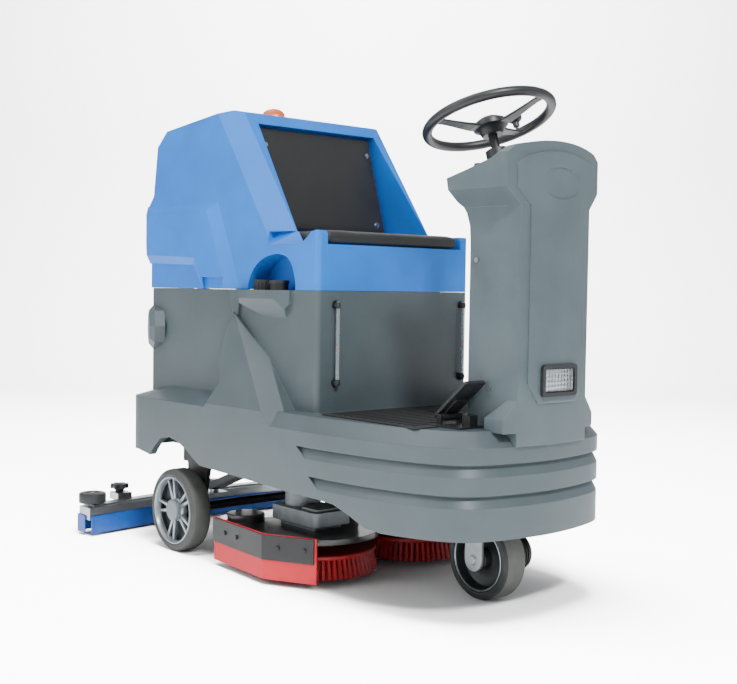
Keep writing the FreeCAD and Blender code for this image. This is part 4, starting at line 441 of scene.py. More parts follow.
def joined(pieces: Iterable[tuple[BMesh, Matrix]]) -> BMesh:
    """Puts several meshes, each in its own place, into one.

    Args:
        pieces: Meshes and the place of each.

    Returns:
        The joined mesh.
    """
    whole = bmesh.new()
    for bm, place in pieces:
        held = bpy.data.meshes.new("held")
        bm.to_mesh(held)
        bm.free()
        held.transform(place)
        whole.from_mesh(held)
        bpy.data.meshes.remove(held)
    return whole


def finished(name: str, bm: BMesh, finish: Finish | Sequence[Finish], body: str, nodes: Sequence[str] = (),
             place: Matrix | None = None, smooth: float = 35.0, pick: Callable[[Vector], int] | None = None
             ) -> bpy.types.Object:
    """Turns a mesh into a piece of the machine.

    Args:
        name: The piece's name.
        bm: Its mesh, which is used up.
        finish: Its finish, or several.
        body: The body it moves with.
        nodes: The frame's nodes it stands for.
        place: Where it goes, or None if it is there already.
        smooth: Edges below this angle are shaded smooth, degrees.
        pick: Chooses a finish by a face's middle, before it is placed.

    Returns:
        The piece's object.
    """
    coats = [finish] if isinstance(finish, Finish) else list(finish)
    if pick:
        for face in bm.faces:
            face.material_index = pick(face.calc_center_median())
    mesh = bpy.data.meshes.new(name)
    bm.to_mesh(mesh)
    bm.free()
    if place is not None:
        mesh.transform(place)
    mesh.shade_smooth()
    mesh.set_sharp_from_angle(angle=math.radians(smooth))
    piece = bpy.data.objects.new(name, mesh)
    bpy.context.scene.collection.objects.link(piece)
    for coat in coats:
        mesh.materials.append(coat.build())
    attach(piece, body)
    if nodes:
        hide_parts(*nodes)
    LOG.info("piece %s: %d faces", name, len(mesh.polygons))
    return piece


# ---- shells: moulded and welded pieces whose shape the frame already has -----------------
@dataclass(frozen=True)
class Shell:
    """A piece that takes its shape from the frame and gets rounded edges.

    Args:
        node: The frame's node.
        body: The body it moves with.
        finish: Its finish.
        edge: Rounding of its sharp edges, mm.
        steps: Steps of the rounding.
    """

    node: str
    body: str
    finish: Finish
    edge: float = 1.5
    steps: int = 2

    def merged(self, source: bpy.types.Object) -> BMesh:
        """Copies the node's mesh and joins its loose triangles.

        Args:
            source: The node.

        Returns:
            The merged mesh, with flat areas in one face each.
        """
        bm = bmesh.new()
        bm.from_mesh(source.data)
        bmesh.ops.remove_doubles(bm, verts=bm.verts[:], dist=2e-5)
        bmesh.ops.dissolve_limit(bm, angle_limit=math.radians(0.8), use_dissolve_boundaries=False,
                                 verts=bm.verts[:], edges=bm.edges[:])
        return bm

    def roomy(self, edge: bmesh.types.BMEdge, width: float) -> bool:
        """Tells whether an edge is sharp and its faces are wide enough to round it by a width in mm."""
        if len(edge.link_faces) != 2 or edge.calc_length() < 0.4 * MM:
            return False
        if edge.calc_face_angle(0.0) < math.radians(24):
            return False
        return all(f.calc_area() / edge.calc_length() > 2.2 * width * MM for f in edge.link_faces)

    def rounded(self, source: bpy.types.Object, width: float) -> BMesh | None:
        """Rounds the edges of a merged copy.

        Args:
            source: The node.
            width: Rounding, mm.

        Returns:
            The rounded mesh, or None if a face folded over itself.
        """
        bm = self.merged(source)
        edges = [e for e in bm.edges if self.roomy(e, width)]
        bmesh.ops.bevel(bm, geom=edges, offset=width * MM, offset_type="OFFSET", segments=self.steps,
                        profile=0.5,
                        affect="EDGES", clamp_overlap=False, material=-1)
        flat = sum(f.calc_area() for f in bm.faces)
        cut = sum(abs((b.vert.co - a.vert.co).cross(c.vert.co - a.vert.co).length) / 2
                  for a, b, c in bm.calc_loop_triangles())
        if edges and cut < flat * 1.0008:
            return bm
        bm.free()
        return None

    def build(self, nodes: dict[str, bpy.types.Object]) -> bpy.types.Object:
        """Makes the shell, or dresses the node itself where rounding would fold a face.

        Args:
            nodes: The frame's nodes.

        Returns:
            The shell's object.
        """
        source = nodes[self.node]
        for share in (1.0, 0.6, 0.35):
            bm = self.rounded(source, self.edge * share)
            if bm:
                LOG.info("%s rounded by %.1f mm", self.node, self.edge * share)
                piece = finished(self.node + "_shell", bm, self.finish, self.body, [self.node], smooth=38.0)
                even = piece.modifiers.new("even", "WEIGHTED_NORMAL")
                even.keep_sharp = True
                return piece
        source.data.materials.clear()
        source.data.materials.append(self.finish.build())
        LOG.info("%s dressed as it is", self.node)
        return source


SHELLS = (
    Shell("recovery_tank", "tank", TANK_BLUE, 4.0, 3),
    Shell("tank_lid", "tank_lid", TANK_BLUE, 2.5, 3),
    Shell("lower_body", "chassis", BODY_GREY, 3.0, 3),
    Shell("front_column", "chassis", PANEL_GREY, 2.5, 3),
    Shell("dash_panel", "chassis", NYLON, 1.2),
    Shell("headlight_housing", "chassis", NYLON, 1.0),
    Shell("chassis_frame", "chassis", FRAME_BLACK, 1.2),
    Shell("filler_neck", "chassis", NYLON, 0.8),
    Shell("filler_cap", "filler_cap", NYLON, 0.8),
    Shell("level_fittings", "chassis", NYLON, 0.6),
    Shell("pedal_base", "chassis", FRAME_BLACK, 0.8),
    Shell("pedal_pad", "pedal", NYLON, 1.0),
    Shell("deck_housing", "deck", GLOSS_BLACK, 1.0),
    Shell("skirt_plates", "deck", FRAME_BLACK, 0.8),
    Shell("skirts", "deck", SKIRT_RED, 0.9),
    Shell("brush_motors", "deck", CAST_GREY, 1.2),
    Shell("drive_fork", "fork", FORK_STEEL, 1.2),
    Shell("squeegee_arm", "squeegee_arm", FRAME_BLACK, 0.8),
    Shell("squeegee_body", "squeegee", ALLOY, 0.8),
    Shell("squeegee_blades", "squeegee", BLADE, 0.6),
)


# ---- wheels ---------------------------------------------------------------------------
@dataclass
class RearWheel:
    """A rear wheel: grey tyre, silver rim with paired spokes, flat cap.

    Args:
        side: -1 on the right, 1 on the left.
        radius: Of the tyre, mm.
        rim: Radius where the tyre sits, mm.
        width: Of the tyre, mm.
        outer: Outer face from the middle of the machine, mm.
        hub: Radius of the hub, mm.
        pairs: Pairs of spokes.
        splay: Half the angle between a pair's spokes, degrees.
    """

    side: int
    radius: float = 115.0
    rim: float = 95.0
    width: float = 64.0
    outer: float = 342.0
    hub: float = 31.0
    pairs: int = 5
    splay: float = 9.5

    @property
    def word(self) -> str:
        """The side in words."""
        return "right" if self.side < 0 else "left"

    @property
    def place(self) -> Matrix:
        """The wheel's place: Z outwards, origin in the outer face."""
        return basis(at(0, self.side * self.outer, self.radius), (0, self.side, 0))

    def tyre(self) -> None:
        """Turns the tyre with its shoulders and wall ring."""
        r, b, w = self.radius, self.rim, self.width
        half = [(b, -4.0), (b + 2.0, -1.6), (b + 5.0, -0.6), (b + 8.0, -1.4), (b + 8.8, -2.2),
                (b + 9.6, -1.6),
                (r - 7.0, -3.0), (r - 3.6, -5.6), (r - 1.4, -9.0), (r - 0.3, -13.5), (r, -18.0)]
        profile = half + [(x, -w - h) for x, h in reversed(half)]
        finished(f"tyre_rear_{self.word}", turned(profile, 96, closed=True), (REAR_TREAD, REAR_WALL),
                 f"rear_wheel_{self.word}", [f"rear_tyre_{self.word}"], self.place,
                 pick=lambda p: int(math.hypot(p.x, p.y) < (r - 2.6) * MM))

    def spoke(self, angle: float) -> tuple[BMesh, Matrix]:
        """Makes one spoke, tapering to the rim.

        Args:
            angle: Where it points, radians.

        Returns:
            The spoke's mesh and its turn.
        """
        inner, outer = self.hub - 4.0, self.rim - 7.0
        bm = plate([(inner, -5.0), (outer, -3.4), (outer, 3.4), (inner, 5.0)], 12.0, 1.6)
        return bm, Matrix.Rotation(angle, 4, "Z") @ Matrix.Translation((0, 0, -26 * MM))

    def rim_piece(self) -> None:
        """Turns the rim, its hub and its back disc, and sets the spokes in."""
        b, w = self.rim, self.width
        ring = turned([(b, -5.0), (b - 1.0, -2.4), (b - 3.2, -1.6), (b - 5.6, -2.6), (b - 7.4, -8.0),
                       (b - 9.0, -20.0),
                       (b - 9.5, -34.0), (b - 7.0, -w + 6.0), (b, -w + 5.0)], 96, closed=True)
        hub = turned([(16.0, -14.0), (self.hub - 3, -14.0), (self.hub - 1, -15.5), (self.hub + 1.5, -20.0),
                      (self.hub + 3.0, -32.0), (self.hub - 4, -46.0), (16.0, -46.0)], 64, closed=True)
        back = turned([(16.0, -38.0), (b - 8.5, -30.0), (b - 8.5, -34.0), (16.0, -44.0)], 64, closed=True)
        spokes = [self.spoke(math.tau * (k + 0.5) / self.pairs + s * math.radians(self.splay))
                  for k in range(self.pairs) for s in (-1, 1)]
        flat = Matrix.Identity(4)
        whole = joined([(ring, flat), (hub, flat), (back, flat)] + spokes)
        finished(f"rim_rear_{self.word}", whole, (RIM_SILVER, RIM_DARK), f"rear_wheel_{self.word}",
                 [f"rear_rim_{self.word}"], self.place,
                 pick=lambda p: int(p.z < -27 * MM and math.hypot(p.x, p.y) < (b - 8.6) * MM))

    def cap(self) -> None:
        """Turns the flat cap."""
        profile = [(0.0, -1.5), (self.hub - 6, -1.2), (self.hub - 3, -1.8), (self.hub - 1.4, -3.2),
                   (self.hub - 1.0, -14.0), (0.0, -14.0)]
        node = f"hub_cap_{self.word}"
        finished(f"cap_rear_{self.word}", turned(profile, 64), CAP_GREY, self.body_of(node), [node],
                 self.place)

    def body_of(self, node: str) -> str:
        """The body that a node belongs to."""
        return bpy.data.objects[node]["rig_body"]

    def build(self) -> None:
        """Makes the whole wheel."""
        self.tyre()
        self.rim_piece()
        self.cap()


@dataclass
class DriveWheel:
    """The steered front wheel: dark tyre, deep dish and tubular hub.

    Args:
        x: Its axle, forward of the rear axle, mm.
        radius: Of the tyre, mm.
        rim: Radius where the tyre sits, mm.
        width: Of the tyre, mm.
    """

    x: float = 885.0
    radius: float = 99.0
    rim: float = 78.0
    width: float = 72.0

    @property
    def place(self) -> Matrix:
        """The wheel's place: Z to the right, origin in the middle."""
        return basis(at(self.x, 0, self.radius), (0, -1, 0))

    def tyre(self) -> None:
        """Turns the tyre with its two walls."""
        r, b, h = self.radius, self.rim, self.width / 2
        half = [(b, h - 4.0), (b + 2.0, h - 1.0), (b + 6.0, h), (b + 10.0, h - 0.8), (b + 11.0, h - 1.8),
                (b + 12.0, h - 1.4), (r - 5.0, h - 3.6), (r - 2.0, h - 7.0), (r - 0.4, h - 11.0),
                (r, h - 15.0)]
        profile = half + [(x, -z) for x, z in reversed(half)]
        finished("tyre_drive", turned(profile, 96, closed=True), (FRONT_WALL, FRONT_TREAD), "drive_wheel",
                 ["drive_tyre"], self.place, pick=lambda p: int(math.hypot(p.x, p.y) > (r - 3.2) * MM))

    def rim_piece(self) -> None:
        """Turns the dished dark rim and its hub, with a pale band painted on its lip as the highlight along
        the rim's edge.
        """
        b, h = self.rim, self.width / 2
        face = [(b, h - 5.0), (b - 1.0, h - 2.2), (b - 3.0, h - 1.8), (b - 5.0, h - 3.4), (b - 7.0, h - 9.0),
                (b - 10.0, 9.0), (b - 16.0, 5.0), (34.0, 5.0), (26.0, 8.0), (24.0, h - 8.0), (21.5, h - 6.0),
                (13.0, h - 6.0)]
        profile = face + [(x, -z) for x, z in reversed(face)]
        # the lip's band takes RIM_SILVER: a pale band painted where the rim's edge shows a highlight
        finished("rim_drive", turned(profile, 96, closed=True), (RIM_DARK, RIM_SILVER), "drive_wheel",
                 ["drive_rim"],
                 self.place, pick=lambda p: int(abs(math.hypot(p.x, p.y) / MM - b + 3.2) < 2.4))

    def build(self) -> None:
        """Makes the whole wheel."""
        self.tyre()
        self.rim_piece()


# ---- steering -------------------------------------------------------------------------
@dataclass
class SteeringWheel:
    """Steering wheel with three spokes, horn cap and spinner.

    Args:
        x: Its middle, forward of the rear axle, mm.
        z: Its middle above the ground, mm.
        tilt: Lean of its shaft, degrees.
        radius: Middle of the rim, mm.
        tube: Radius of the rim's section, mm.
        hub: Radius of the hub, mm.
        spokes: Angles of the spokes, degrees.
    """

    x: float = 865.0
    z: float = 1147.0
    tilt: float = 19.5
    radius: float = 151.0
    tube: float = 12.0
    hub: float = 42.0
    spokes: tuple[float, ...] = (-104.0, 14.0, 104.0)

    @property
    def place(self) -> Matrix:
        """The wheel's place: Z up its shaft, X forward."""
        lean = math.radians(self.tilt)
        return basis(at(self.x, 0, self.z), (-math.sin(lean), 0, math.cos(lean)),
                     (math.cos(lean), 0, math.sin(lean)))

    def rim(self) -> BMesh:
        """Turns the rim with a flatter underside."""
        t = self.tube
        profile = []
        for k in range(24):
            a = math.tau * k / 24
            squeeze = 0.94 if math.sin(a) < -0.3 else 1.0
            profile.append((self.radius + t * math.cos(a), t * squeeze * math.sin(a)))
        return turned(profile, 120, closed=True)

    def spoke(self, angle: float) -> tuple[BMesh, Matrix]:
        """Draws a spoke from the hub out into the rim.

        Args:
            angle: Where it points, degrees.

        Returns:
            The spoke's mesh and its turn.
        """
        bm = bmesh.new()
        start = [bm.verts.new((self.hub * 0.6 * MM, y * MM, z * MM)) for y, z in
                 ((-17, -22), (17, -22), (19, -18), (14, -13), (-14, -13), (-19, -18))]
        face = bm.faces.new(start)
        for reach, lift, wide in ((26.0, 1.0, 0.94), (26.0, 4.0, 0.86), (26.0, 5.0, 0.86), (22.0, 4.0, 0.92),
                                  (20.0, 2.0, 1.0)):
            grown = bmesh.ops.extrude_face_region(bm, geom=[face])["geom"]
            face = next(g for g in grown if isinstance(g, bmesh.types.BMFace))
            bmesh.ops.translate(bm, verts=face.verts[:], vec=(reach * MM, 0, lift * MM))
            bmesh.ops.scale(bm, verts=face.verts[:], vec=(1, wide, wide),
                            space=Matrix.Translation(-face.calc_center_median()))
        bmesh.ops.recalc_face_normals(bm, faces=bm.faces[:])
        return bm, Matrix.Rotation(math.radians(angle), 4, "Z")

    def wheel(self) -> None:
        """Joins rim, spokes and boss."""
        boss = turned([(11.0, -40.0), (24.0, -40.0), (27.0, -36.0), (30.0, -26.0), (self.hub - 3, -22.0),
                       (self.hub, -20.0), (self.hub, -17.0), (self.hub - 1.5, -16.0), (11.0, -16.0)], 64,
                      closed=True)
        flat = Matrix.Identity(4)
        whole = joined([(self.rim(), flat), (boss, flat)] + [self.spoke(a) for a in self.spokes])
        finished("wheel_rim_and_spokes", whole, WHEEL_BLACK, "steering", ["steering_wheel"], self.place,
                 smooth=50)

    def horn(self) -> None:
        """Turns the domed cap and its ring."""
        h = self.hub
        profile = [(0.0, 8.0), (8.0, 7.6), (16.0, 6.2), (24.0, 3.4), (30.0, 0.0), (34.0, -3.0),
                   (h - 5.5, -5.2),
                   (h - 4.6, -6.4), (h - 3.6, -5.4), (h - 2.4, -6.2), (h - 2.0, -8.0), (h - 2.0, -15.6),
                   (0.0, -15.6)]
        finished("horn_cap", turned(profile, 72), WHEEL_BLACK, "steering", ["steering_hub"], self.place)

    def spinner(self) -> None:
        """Turns the spinner on its stalk."""
        low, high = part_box("spinner_knob")
        middle = (low + high) / 2
        up = self.place.to_3x3().col[2]
        tall = (high.z - low.z) / MM
        top = tall * 0.44
        profile = [(0.0, top), (7.0, top - 0.5), (13.0, top - 3.0), (17.0, top - 8.0), (18.5, top - 14.0),
                   (17.0, top - 20.0), (12.0, top - 24.0), (8.5, top - 27.0), (8.0, -top * 0.55),
                   (4.0, -top * 0.6),
                   (4.0, -top), (0.0, -top)]
        finished("spinner", turned(profile, 48), WHEEL_BLACK, "spinner", ["spinner_knob"], basis(middle, up))

    def build(self) -> None:
        """Makes the steering wheel and what it carries."""
        self.wheel()
        self.horn()
        self.spinner()


# ---- seat -----------------------------------------------------------------------------
@dataclass
class Cushion:
    """A stuffed pad: a rounded box blown up by cloth.

    Args:
        node: The frame's node it stands for.
        finish: Its skin.
        fill: How tight it is, from 0 to 1; not used.
        corner: Rounding before it is filled, mm.
        rise: The most that filling moves its skin, mm.
        cell: Voxel size of its skin, mm.
        inset: How far it starts inside the node's box, mm.
        lean: Angle of its face about Y, degrees; 0 lies flat; not used.
    """

    node: str
    finish: Finish = PAD
    fill: float = 0.7
    corner: float = 9.0
    rise: float = 5.0
    cell: float = 6.0
    inset: float = 2.0
    lean: float = 0.0

    def build(self, nodes: dict[str, bpy.types.Object]) -> bpy.types.Object:
        """Makes the pad.

        Args:
            nodes: The frame's nodes.

        Returns:
            The pad's object.
        """
        bm = Shell(self.node, "tank", self.finish).merged(nodes[self.node])
        middle = sum((v.co for v in bm.verts), Vector()) / len(bm.verts)
        sizes = [max(v.co[i] for v in bm.verts) - min(v.co[i] for v in bm.verts) for i in range(3)]
        shrink = [1 - 2 * self.inset * MM / s for s in sizes]
        bmesh.ops.scale(bm, vec=shrink, verts=bm.verts[:], space=Matrix.Translation(-middle))
        sharp = [e for e in bm.edges
                 if e.calc_face_angle(0.0) > math.radians(30) and e.calc_length() > 60 * MM]
        soften(bm, sharp, self.corner * 0.6, 3)
        piece = finished(self.node + "_skin", bm, self.finish, "tank", [self.node], smooth=60)
        self.inflate(piece)
        return piece

    def inflate(self, piece: bpy.types.Object) -> None:
        """Blows the skin up and keeps each point near where it began.

        Args:
            piece: The pad.
        """
        remesh = piece.modifiers.new("skin", "REMESH")
        remesh.mode = "VOXEL"
        remesh.voxel_size = self.cell * MM
        self.apply(piece)
        start = [v.co.copy() for v in piece.data.vertices]
        cloth = piece.modifiers.new("fill", "CLOTH")
        settings = cloth.settings
        settings.quality = 6
        settings.use_pressure = True
        settings.uniform_pressure_force = 4.0
        settings.tension_stiffness = 20.0
        settings.compression_stiffness = 20.0
        settings.effector_weights.gravity = 0.0
        cloth.point_cache.frame_start = 1
        cloth.point_cache.frame_end = 20
        scene = bpy.context.scene
        for step in range(1, 21):
            scene.frame_set(step)
        self.apply(piece)
        scene.frame_set(1)
        for v, was in zip(piece.data.vertices, start):
            moved = v.co - was
            if moved.length > self.rise * MM:
                v.co = was + moved.normalized() * self.rise * MM
        fine = piece.modifiers.new("fine", "SUBSURF")
        fine.levels = 1
        fine.render_levels = 1
        self.apply(piece)
        piece.data.shade_smooth()

    def apply(self, piece: bpy.types.Object) -> None:
        """Keeps what the piece's modifiers make as its mesh."""
        ready = piece.evaluated_get(bpy.context.evaluated_depsgraph_get())
        mesh = bpy.data.meshes.new_from_object(ready)
        piece.modifiers.clear()
        piece.data = mesh


# ---- brushes --------------------------------------------------------------------------
@dataclass
class Brush:
    """A disc brush: a drive disc with rings of tufts.

    Args:
        side: -1 on the right, 1 on the left.
        x: Its middle, forward of the rear axle, mm.
        y: Its middle from the machine's middle, mm.
        radius: At the tips of the bristles, mm.
        rings: Radius of each ring of tufts, mm, and its number of tufts.
        tuft: Radius of a tuft at its root, mm.
    """

    side: int
    x: float = 435.0
    y: float = 170.0
    radius: float = 165.0
    rings: tuple[tuple[float, int], ...] = ((148.0, 66), (133.0, 54), (117.0, 42), (100.0, 30))
    tuft: float = 4.6

    def build(self) -> None:
        """Makes the disc and its tufts."""
        word = "right" if self.side < 0 else "left"
        node = f"brush_{word}"
        low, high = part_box(node)
        tall = (high.z - low.z) / MM
        bristle = 52.0
        place = Matrix.Translation(at(self.x, self.side * self.y, low.z / MM))
        disc = turned([(30.0, bristle - 2), (self.radius - 10, bristle - 2), (self.radius - 7, bristle + 1),
                       (self.radius - 7, bristle + 7), (self.radius - 9, bristle + 9), (60.0, bristle + 10),
                       (52.0, tall - 2), (30.0, tall - 1)], 96, closed=True)
        finished(f"brush_disc_{word}", disc, BRISTLE, node, (), place)
        tufts = []
        for radius, count in self.rings:
            for k in range(count):
                a = math.tau * (k + 0.31 * (radius % 7)) / count
                bm = bmesh.new()
                bmesh.ops.create_cone(bm, cap_ends=True, segments=6, radius1=self.tuft * 1.6 * MM,
                                      radius2=self.tuft * MM, depth=bristle * MM)
                flare = math.radians(5 + 8 * (radius - 100) / 48)
                turn = Matrix.Rotation(a, 4, "Z") @ Matrix.Translation(((radius + 3) * MM, 0,
                                                                        bristle / 2 * MM))
                tufts.append((bm, turn @ Matrix.Rotation(-flare, 4, "Y")))
        whole = joined(tufts)
        for v in whole.verts:
            v.co.z = max(v.co.z, 0.0)
            flat = math.hypot(v.co.x, v.co.y)
            if flat > self.radius * MM:
                v.co.x *= self.radius * MM / flat
                v.co.y *= self.radius * MM / flat
        finished(f"brush_tufts_{word}", whole, BRISTLE, node, [node], place)


# ---- squeegee -------------------------------------------------------------------------
@dataclass
class SqueegeeTrim:
    """Star knobs and the guide rollers at the ends of the squeegee.

    Args:
        lobes: Lobes of a star knob.
    """

    lobes: int = 6

    def knob(self, word: str) -> None:
        """Makes a star knob on its stem, with a disc on top.

        Args:
            word: Its side.
        """
        node = f"squeegee_knob_{word}"
        low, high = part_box(node)
        middle = (low + high) / 2
        reach = (high.x - low.x) / 2 / MM
        tall = (high.z - low.z) / MM
        star = plate(ring_outline(reach * 0.86, 72, reach * 0.12, self.lobes), tall * 0.55, 2.2)
        stem = turned([(0.0, 0.0), (reach * 0.42, 0.0), (reach * 0.5, tall * 0.2), (reach * 0.55, tall * 0.5),
                       (0.0, tall * 0.5)], 40)
        top = turned([(0.0, tall * 0.99), (reach * 0.32, tall * 0.98), (reach * 0.42, tall * 0.94),
                      (reach * 0.46, tall * 0.9), (0.0, tall * 0.9)], 40)
        flat = Matrix.Identity(4)
        whole = joined([(star, Matrix.Translation((0, 0, tall * 0.38 * MM))), (stem, flat), (top, flat)])
        place = Matrix.Translation((middle.x, middle.y, low.z))
        finished(f"star_knob_{word}", whole, NYLON, node, [node], place)

    def roller(self, word: str) -> None:
        """Makes a guide roller with a bore through it.

        Args:
            word: Its side.
        """
        node = f"guide_roller_{word}"
        low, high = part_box(node)
        middle = (low + high) / 2
        reach = (high.x - low.x) / 2 / MM
        tall = (high.z - low.z) / MM
        profile = [(5.2, 0.0), (reach - 4, 0.0), (reach - 1, 1.6), (reach, 4.0), (reach, tall - 4.0),
                   (reach - 1, tall - 1.6), (reach - 4, tall), (reach * 0.55, tall),
                   (reach * 0.5, tall - 2.0),
                   (5.2, tall - 2.0)]
        place = Matrix.Translation((middle.x, middle.y, low.z))
        finished(f"roller_{word}", turned(profile, 64, closed=True), ROLLER, node, [node], place)

    def build(self) -> None:
        """Makes both sides."""
        for word in ("right", "left"):
            self.knob(word)
            self.roller(word)


# ---- lamp, beacon and small fittings ------------------------------------------------------
@dataclass
class Headlight:
    """Headlight: chromed bowl and a faceted clear lens.

    Args:
        across: Facets across.
        down: Facets down.
        proud: Height of a facet, mm.
    """

    across: int = 9
    down: int = 5
    proud: float = 1.6

    def build(self) -> None:
        """Makes the lens, whose back is flat and whose front is faceted."""
        low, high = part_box("headlight_lens")
        middle = (low + high) / 2
        half_y = (high.y - low.y) / 2 / MM
        half_z = (high.z - low.z) / 2 / MM
        depth = (high.x - low.x) / MM
        bm = bmesh.new()
        bmesh.ops.create_grid(bm, x_segments=self.across, y_segments=self.down, size=1.0)
        bmesh.ops.scale(bm, vec=((half_y - 1) * MM, (half_z - 1) * MM, 1), verts=bm.verts[:])
        facets = bm.faces[:]
        grown = bmesh.ops.extrude_face_region(bm, geom=facets)["geom"]
        raised = [v for v in grown if isinstance(v, bmesh.types.BMVert)]
        bmesh.ops.translate(bm, verts=raised, vec=(0, 0, max(depth - self.proud, 2.0) * MM))
        front = [g for g in grown if isinstance(g, bmesh.types.BMFace)]
        bmesh.ops.poke(bm, faces=front, offset=self.proud * MM)
        bmesh.ops.recalc_face_normals(bm, faces=bm.faces[:])
        place = basis(Vector((low.x, middle.y, middle.z)), (1, 0, 0), (0, 1, 0))
        finished("lens_facets", bm, CLEAR, "chassis", ["headlight_lens"], place, smooth=5)
        bowl = rounded_box((half_y * 2 - 6, half_z * 2 - 6, 3.0), 1.2, 2)
        finished("lamp_bowl", bowl, MIRROR, "chassis", (),
                 basis(Vector((low.x - 2.2 * MM, middle.y, middle.z)),
                                                                 (1, 0, 0), (0, 1, 0)))


@dataclass
class Beacon:
    """Amber beacon: a ribbed dome over its foot.

    Args:
        radius: Of the dome, mm.
        ribs: Upright ribs round it.
    """

    radius: float = 36.0
    ribs: int = 36

    def build(self) -> None:
        """Makes the dome with upright ribs."""
        low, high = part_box("beacon_dome")
        middle = (low + high) / 2
        tall = (high.z - low.z) / MM
        r = self.radius
        bm = turned([(0.0, tall - 0.5), (12.0, tall - 1.4), (22.0, tall - 4.6), (29.0, tall - 10.0),
                     (32.6, tall - 17.0), (33.6, tall * 0.5), (34.2, 6.0), (r - 0.3, 5.0), (r - 0.3, 1.0),
                     (0.0, 1.0)],
                    self.ribs * 4)
        for v in bm.verts:
            if 7 * MM < v.co.z < (tall - 15) * MM:
                turn = math.atan2(v.co.y, v.co.x) * self.ribs
                grow = 1 + 0.018 * math.cos(turn)
                v.co.x *= grow
                v.co.y *= grow
        lean = math.atan2(30.0, 317.0)
        place = basis(Vector((middle.x, middle.y, low.z + 1.5 * MM)), (-math.sin(lean), 0, math.cos(lean)))
        finished("beacon_lens", bm, AMBER, "tank", ["beacon_dome"], place, smooth=30)


@dataclass
class LevelTubes:
    """Two clear tubes that show the water level, with a red float in each.

    Args:
        x: Their middle, forward of the rear axle, mm.
        radius: Outside, mm.
        wall: Thickness, mm.
        stands: Y, foot and top of each, mm.
        level: Height of the float, mm.
    """

    x: float = 557.0
    wall: float = 1.2
    stands: tuple[tuple[float, float, float], ...] = ((-205.0, 505.0, 700.0), (237.0, 505.0, 700.0))
    level: float = 589.0

    def build(self) -> None:
        """Makes the tubes and their floats."""
        low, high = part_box("level_tubes")
        radius = (high.x - low.x) / 2 / MM
        tubes = []
        floats = []
        for y, foot, top in self.stands:
            r = radius - 0.05
            bm = turned([(r, 0.0), (r, top - foot), (r - self.wall, top - foot), (r - self.wall, 0.0)], 32,
                        closed=True)
            tubes.append((bm, Matrix.Translation(at(self.x, y, low.z / MM))))
            ball = turned([(0.0, 6.0), (3.0, 5.2), (r - self.wall - 0.5, 2.5), (r - self.wall - 0.5, -2.5),
                           (3.0, -5.2), (0.0, -6.0)], 24)
            floats.append((ball, Matrix.Translation(at(self.x, y, self.level))))
        finished("level_glass", joined(tubes), TUBE, "chassis", ["level_tubes"])
        finished("level_floats", joined(floats), STOP_RED, "chassis")


@dataclass
class StopButton:
    """Mushroom stop button."""


    def build(self) -> None:
        """Turns the mushroom over its stem."""
        low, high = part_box("emergency_stop")
        middle = (low + high) / 2
        r = (high.y - low.y) / 2 / MM
        tall = (high.z - low.z) / MM
        profile = [(0.0, tall - 0.6), (r * 0.5, tall - 1.2), (r * 0.82, tall - 3.0), (r - 0.6, tall - 6.5),
                   (r, tall - 9.5), (r * 0.9, tall - 12.5), (r * 0.55, tall - 14.0), (r * 0.5, 0.0),
                   (0.0, 0.0)]
        lean = -math.atan2(17.0, 67.0)
        place = basis(Vector((middle.x, middle.y, low.z)), (math.sin(lean), 0, math.cos(lean)))
        finished("stop_mushroom", turned(profile, 48), STOP_RED, "stop_button", ["emergency_stop"], place)


